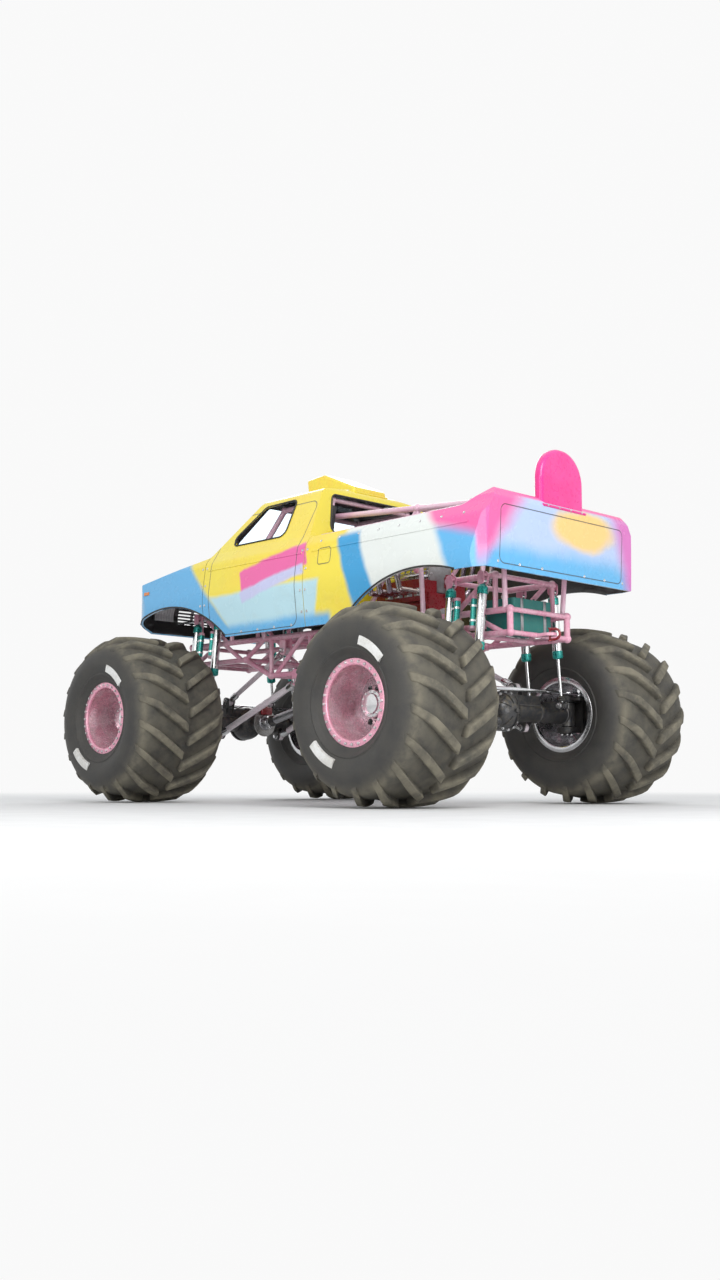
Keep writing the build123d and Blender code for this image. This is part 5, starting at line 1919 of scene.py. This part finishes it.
@dataclass
class CabDress:
    """What is inside the cab: stuffed pads, harness, gauges, shifter, pedals, fire bottle, fuel straps."""

    truck: Truck
    voxel: float = 0.010
    pressure: float = 4
    frames: int = 20
    cap: float = 0.012
    channel_depth: float = 0.007
    channel_width: float = 0.006
    shoulder: Profile = mm(45, 2610, 130, 2600, 150, 2440, 200, 2180, 250, 2010, 300, 1992)
    lap: Profile = mm(232, 1935, 205, 1990, 110, 2000, 28, 1998)
    buckle: Profile = mm(0, 0, 0, 34, 8, 36, 14, 32, 16, 18, 22, 16, 22, 0)
    dial: Profile = mm(-40, 0, -40, 28, 0, 34, 10, 34, 10, 29, 4, 28, 4, 0)
    face: Profile = mm(3.5, 0, 3.5, 27, 6, 27, 6, 0)
    hub: Profile = mm(-30, 0, -30, 30, 14, 30, 18, 46, 24, 46, 26, 30, 34, 26, 34, 0)
    boxes: Sequence[tuple[Point, Point]] = (
        ((0.26, -0.375, 1.692), (0.44, -0.300, 1.880)),
        ((0.865, -0.115, 2.085), (0.895, 0.115, 2.125)),
        ((1.030, 0.060, 1.800), (1.046, 0.150, 1.900)),
        ((1.030, -0.150, 1.780), (1.046, -0.080, 1.910)),
        ((1.046, 0.095, 1.692), (1.062, 0.115, 1.880)),
        ((1.046, -0.125, 1.692), (1.062, -0.105, 1.880)),
        ((-0.210, -0.165, 1.692), (-0.160, -0.145, 1.830)),
        ((-0.210, 0.145, 1.692), (-0.160, 0.165, 1.830)),
    )
    lever: Sequence[Point] = ((0.345, -0.338, 1.870), (0.335, -0.338, 2.000), (0.300, -0.338, 2.090))
    knob: Profile = mm(-16, 0, -10, 20, 10, 27, 28, 20, 34, 0)
    bottle: Profile = mm(-210, 0, -208, 34, -185, 60, 185, 60, 208, 36, 212, 18, 240, 18, 242, 0)
    fuel_cap: Profile = mm(0, 0, 0, 78, 6, 78, 8, 74, 8, 48, 26, 46, 30, 40, 30, 0)
    vent: Profile = mm(0, 0, 0, 14, 20, 14, 20, 18, 34, 18, 36, 12, 48, 10, 48, 0)

    def make(self) -> None:
        """Dresses the cab and the fuel cell behind it."""
        self.seat()
        self.harness()
        self.controls()
        self.cage_pads()
        self.fuel_cell()

    def inflate(self, piece: Piece) -> None:
        """Swells a pad with cloth pressure and applies the result.

        Args:
            piece: a plain block, which becomes a crowned pad with one subdivision.
        """
        activate(piece)
        piece.data.remesh_voxel_size = self.voxel
        bpy.ops.object.voxel_remesh()
        start = [vertex.co.copy() for vertex in piece.data.vertices]
        cloth = piece.modifiers.new("swell", "CLOTH")
        cloth.settings.use_pressure = True
        cloth.settings.uniform_pressure_force = self.pressure
        cloth.settings.effector_weights.gravity = 0
        for frame in range(1, self.frames + 1):
            bpy.context.scene.frame_set(frame)
        bpy.ops.object.modifier_apply(modifier=cloth.name)
        bpy.context.scene.frame_set(1)
        for vertex, before in zip(piece.data.vertices, start):
            move = vertex.co - before
            if move.length > self.cap:
                vertex.co = before + move.normalized() * self.cap
            vertex.co.z = max(vertex.co.z, -0.003)
        modify(piece, "SUBSURF", levels=1, render_levels=1)

    def pad(self, name: str, size: Point, channels: Sequence[float], place: Matrix) -> None:
        """One stuffed pad with sewn channels across it, and its piping.

        Args:
            name: the pad's name.
            size: its half length, half width and thickness.
            channels: where the channels lie along its length.
            place: where its underside's middle goes.
        """
        length, width, thick = size
        piece = slab(name, (-length, -width, 0.0), (length, width, thick), 0.014, 3)
        self.inflate(piece)
        for vertex in piece.data.vertices:
            if vertex.normal.z > 0.25:
                for along in channels:
                    beside = (vertex.co.x - along) / self.channel_width
                    vertex.co.z -= self.channel_depth * exp(-(beside**2))
        piece.data.transform(place)
        self.truck.add(smooth(piece, PAD_ANGLE), "seat_vinyl")
        rim = rounded_outline(box((-length, -width), (length, width)), 0.03, 6)
        piping = bead(f"{name}_piping", [Vector((x * 1.012, y * 1.012, thick * 0.62)) for x, y in rim], 0.004)
        piping.data.transform(place)
        self.truck.add(piping, "hot_pink")

    def seat(self) -> None:
        """The seat's base, back and head pads."""
        base = Matrix.Translation((0.372, 0, 1.914)) @ Matrix.Rotation(radians(-4.5), 4, "Y")
        lean = Matrix(((-0.169, 0, 0.986, 0), (0, -1, 0, 0), (0.986, 0, 0.169, 0), (0, 0, 0, 1)))
        back = Matrix.Translation((0.133, 0, 2.187)) @ lean
        head = Matrix.Translation((0.077, 0, 2.512)) @ lean
        self.pad("seat_base_pad", (0.165, 0.195, 0.048), (-0.075, 0.0, 0.075), base)
        self.pad("seat_back_pad", (0.235, 0.190, 0.046), (-0.14, -0.07, 0.0, 0.07, 0.14), back)
        self.pad("seat_head_pad", (0.070, 0.120, 0.046), (0.0,), head)

    @staticmethod
    def ribbon(points: Sequence[Flat], place: Matrix) -> Piece:
        """A flat belt along points in one plane, its width across that plane.

        Args:
            points: the belt's control points.
            place: where the plane goes.

        Returns:
            The belt.
        """
        settings = {"dimensions": "2D", "fill_mode": "NONE", "extrude": 0.023, "bevel_depth": 0.0016}
        piece = curve("belt", [(*point, 0) for point in points], Line.SMOOTH, **settings)
        piece.data.transform(place)
        return smooth(outward(piece, True))

    def harness(self) -> None:
        """Shoulder and lap belts that lie on the pads and meet in a round buckle."""
        upright = Matrix.Rotation(pi / 2, 4, "X")
        across = Matrix.Translation((0.290, 0, 0)) @ Matrix.Rotation(pi / 2, 4, "Z") @ upright
        straps = []
        for _, side in SIDES:
            strap = self.ribbon(self.shoulder, upright)
            for vertex in strap.data.vertices:
                share = max(0.0, min(1.0, (2.60 - vertex.co.z) / 0.60))
                vertex.co.y += side * (0.085 - 0.055 * share)
            straps += [strap, self.ribbon([(side * y, z) for y, z in self.lap], across)]
        self.truck.join("harness_straps", "webbing", straps)
        self.truck.lathes("harness_buckle", "steel", [(self.buckle, Vector((0.300, 0, 1.990)), X * 0.1 + Z)])

    def controls(self) -> None:
        """Gauges on the column, the wheel's hub, the shifter, pedals and the fire bottle."""
        lean = Vector((-0.8, 0, 0.6))
        wheel = Vector((0.760, 0, 2.240))
        way = Vector((-1, 0, 0.35)).normalized()
        centres = [wheel - lean * 0.22 + Vector((0.02, y, 0.115)) for y in (-0.075, 0.0, 0.075)]
        self.truck.lathes("gauges", "black_plastic", [(self.dial, centre, way) for centre in centres])
        self.truck.lathes("gauge_faces", "gauge_face", [(self.face, centre, way) for centre in centres])
        self.truck.lathes("wheel_release_hub", "polished_aluminium", [(self.hub, wheel, lean)])
        self.truck.bolt("wheel_hub_bolts", ring_seats(wheel + lean * 0.024, lean, 0.038, 6), 0.010, 0.006)
        self.truck.slabs("cab_boxes", "cast_aluminium", self.boxes, 0.005)
        lever = pipe("lever", self.lever, 0.008, 12, 8)
        knob = turned("knob", self.knob, (0.296, -0.338, 2.098), Z - X * 0.25, 28)
        self.truck.join("shift_lever", "chrome", [lever, knob])
        self.truck.lathes("fire_bottle", "engine_red", [(self.bottle, Vector((-0.185, 0, 1.768)), Y)])

    def cage_pads(self) -> None:
        """Foam sleeves on the roll hoop beside the driver's head."""
        for name, side in SIDES:
            foot = Vector((-0.15, side * 0.600, 2.395))
            head = Vector((-0.15, side * 0.520, 2.950))
            reach = (head - foot).length
            rim = [(0.22, 0.030), (0.22, 0.040), (0.235, 0.0455)]
            rim += [(0.25 + 0.05 * step, 0.0475 if step % 2 else 0.0455) for step in range(12)]
            rim += [(0.865, 0.0455), (0.88, 0.040), (0.88, 0.030)]
            profile = [(share * reach, radius) for share, radius in rim]
            sleeve = turned(f"hoop_pad_{name}", profile, foot, (head - foot).normalized(), 36)
            self.truck.add(sleeve, "seat_vinyl")

    def fuel_cell(self) -> None:
        """The fuel cell's straps, cap and fittings."""
        rows = []
        for y in (-0.16, 0.16):
            low, high = y - 0.019, y + 0.019
            rows.append(((-2.199, low, 1.797), (-1.866, high, 1.804)))
            rows.append(((-2.200, low, 1.505), (-2.194, high, 1.803)))
            rows.append(((-1.871, low, 1.505), (-1.865, high, 1.803)))
        self.truck.slabs("fuel_straps", "steel", rows, 0.002)
        top = Vector((-2.03, 0, 1.799))
        vents = [(self.vent, top + Y * side * 0.215, Z) for _, side in SIDES]
        self.truck.lathes("fuel_cap", "polished_aluminium", [(self.fuel_cap, top, Z), *vents])
        self.truck.bolt("fuel_cap_bolts", ring_seats(top + Z * 0.007, Z, 0.063, 10), 0.014, 0.007)


@dataclass
class ChassisDress:
    """Tow shackles, ram glands and ports."""

    truck: Truck
    tow: Point = (2.375, 0.0, 1.480)
    ram_x: float = 0.150
    ram_z: float = -0.105
    bow: Profile = mm(0, 40, 20, 47, 85, 44, 112, 0, 85, -44, 20, -47, 0, -40)
    pin: Profile = mm(-60, 0, -60, 19, -48, 19, -48, 10.5, 50, 10.5, 50, 16, 60, 16, 60, 0)
    inner_gland: Profile = mm(-22, 30, -22, 40.5, 6, 40.5, 10, 36, 10, 30)
    outer_gland: Profile = mm(-22, 18, -22, 40.5, 6, 40.5, 10, 36, 12, 30, 12, 18)

    def make(self) -> None:
        """Makes the small chassis fittings of both ends."""
        shackles = []
        glands = []
        ports = []
        x, y, z = self.tow
        for _, end in ENDS:
            shackles.append(pipe("bow", [(end * (x + a), y, z + b) for a, b in self.bow], 0.012, 16))
            shackles.append(turned("pin", self.pin, (end * x, y, z), Z, 24))
            centre = Vector((end * (LAYOUT.axle_x + self.ram_x), 0, LAYOUT.axle_z + self.ram_z))
            glands.append((self.inner_gland, centre + Y * 0.230, Y))
            glands.append((self.outer_gland, centre + Y * 0.612, Y))
            ports += [(centre + Vector((0, place, 0.034)), Z) for place in (0.262, 0.578)]
        self.truck.join("tow_shackles", "engine_red", shackles)
        self.truck.lathes("ram_glands", "axle_black", glands, 36)
        self.truck.bolt("ram_ports", ports, 0.030, 0.020)


# Studio


@dataclass
class Studio:
    """The floor, the soft lights, the pale surroundings and the camera."""

    target: Point = (0.0, 0.0, 1.62)
    azimuth: float = radians(226)
    distance: float = 12.6
    camera_height: float = 0.24
    lens: float = 35.5
    white: float = 0.95
    light: float = 0.55

    def floor(self) -> None:
        """A plain pale floor, which the camera sees as near white far away."""
        deselect()
        bpy.ops.mesh.primitive_plane_add(size=80, location=(0, 0, -0.0005))
        ground = bpy.context.object
        ground.name = "studio_floor"
        nodes = Nodes("studio_floor")
        colour = nodes.mottled(nodes.noise(3, 6.0), 0.3, 0.7, (0.80, 0.80, 0.79), (0.84, 0.84, 0.83))
        nodes.set(Base_Color=colour, Roughness=0.7)
        far = nodes.between(nodes.length(nodes.x, nodes.y), 5.0, 12.0)
        path = nodes.node("ShaderNodeLightPath")
        share = nodes.times(far, path.outputs["Is Camera Ray"])
        glow = nodes.feed("ShaderNodeEmission", {"Strength": self.white})
        surface = nodes.feed("ShaderNodeMixShader", {0: share, 1: nodes.shader.outputs[0], 2: glow})
        nodes.link(surface, nodes.tree.nodes["Material Output"].inputs["Surface"])
        ground.data.materials.append(nodes.material)

    def world(self) -> None:
        """A soft grey light all round, which the camera and mirrors see as near white."""
        world = bpy.data.worlds.new("studio")
        bpy.context.scene.world = world
        world.use_nodes = True
        tree = world.node_tree
        tree.nodes.clear()
        share = tree.nodes.new("ShaderNodeLightPath").outputs
        seen = share["Is Camera Ray"]
        for ray in ("Is Glossy Ray", "Is Transmission Ray"):
            either = tree.nodes.new("ShaderNodeMath")
            either.operation = "MAXIMUM"
            tree.links.new(seen, either.inputs[0])
            tree.links.new(share[ray], either.inputs[1])
            seen = either.outputs[0]
        blend = tree.nodes.new("ShaderNodeMixShader")
        tree.links.new(seen, blend.inputs[0])
        shades = (((0.92, 0.95, 1.0, 1), self.light), ((1, 1, 1, 1), self.white))
        for number, (colour, strength) in enumerate(shades, 1):
            sky = tree.nodes.new("ShaderNodeBackground")
            sky.inputs["Color"].default_value = colour
            sky.inputs["Strength"].default_value = strength
            tree.links.new(sky.outputs[0], blend.inputs[number])
        output = tree.nodes.new("ShaderNodeOutputWorld")
        tree.links.new(blend.outputs[0], output.inputs["Surface"])

    def aimed(self, piece: Piece, name: str) -> bpy.types.ID:
        """Names a lamp or camera and turns it to the truck.

        Args:
            piece: the lamp or camera.
            name: its name.

        Returns:
            Its data.
        """
        piece.name = name
        piece.rotation_euler = (Vector(self.target) - piece.location).to_track_quat("-Z", "Y").to_euler()
        return piece.data

    def lamp(self, name: str, place: Point, size: float, power: float) -> None:
        """A square soft light aimed at the truck.

        Args:
            name: the lamp's name.
            place: where it hangs.
            size: its width in metres.
            power: its power in watts.
        """
        deselect()
        bpy.ops.object.light_add(type="AREA", location=place)
        light = self.aimed(bpy.context.object, name)
        light.shape = "SQUARE"
        light.size = size
        light.energy = power

    def camera(self) -> None:
        """A camera at floor level behind the truck's left, as the photograph looks at it."""
        deselect()
        x, y = sin(self.azimuth) * self.distance, -cos(self.azimuth) * self.distance
        bpy.ops.object.camera_add(location=(x, y, self.camera_height))
        bpy.context.scene.camera = bpy.context.object
        eye = self.aimed(bpy.context.object, "studio_camera")
        eye.lens = self.lens
        eye.clip_end = 200

    def make(self) -> None:
        """Sets up everything round the truck."""
        self.floor()
        self.world()
        self.lamp("key_light", (-9.0, 6.0, 9.0), 7.0, 780)
        self.lamp("fill_light", (-4.0, 12.0, 3.0), 7.0, 340)
        self.lamp("rim_light", (8.0, -7.0, 7.0), 6.0, 400)
        self.lamp("low_light", (-9.0, 1.0, 0.9), 3.0, 120)
        bpy.context.scene.view_settings.view_transform = "Standard"
        self.camera()


def main() -> None:
    """Builds every piece in order."""
    logging.basicConfig(level=logging.INFO, format="%(message)s")
    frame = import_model()
    truck = Truck(frame)
    truck.dress_nodes()
    tyre = Tyre().make()
    for end in ENDS:
        for side in SIDES:
            Wheel(truck, *end, *side, tyre).make()
            KnuckleDress(truck, *end, *side).make()
        for dress in (AxleDress, LinkDress, ShockDress):
            dress(truck, *end).make()
    bpy.data.objects.remove(tyre)
    for dress in (DrivelineDress, EngineDress, BodyDress, CabDress, ChassisDress):
        dress(truck).make()
    Studio().make()


if __name__ == "__main__":
    main()
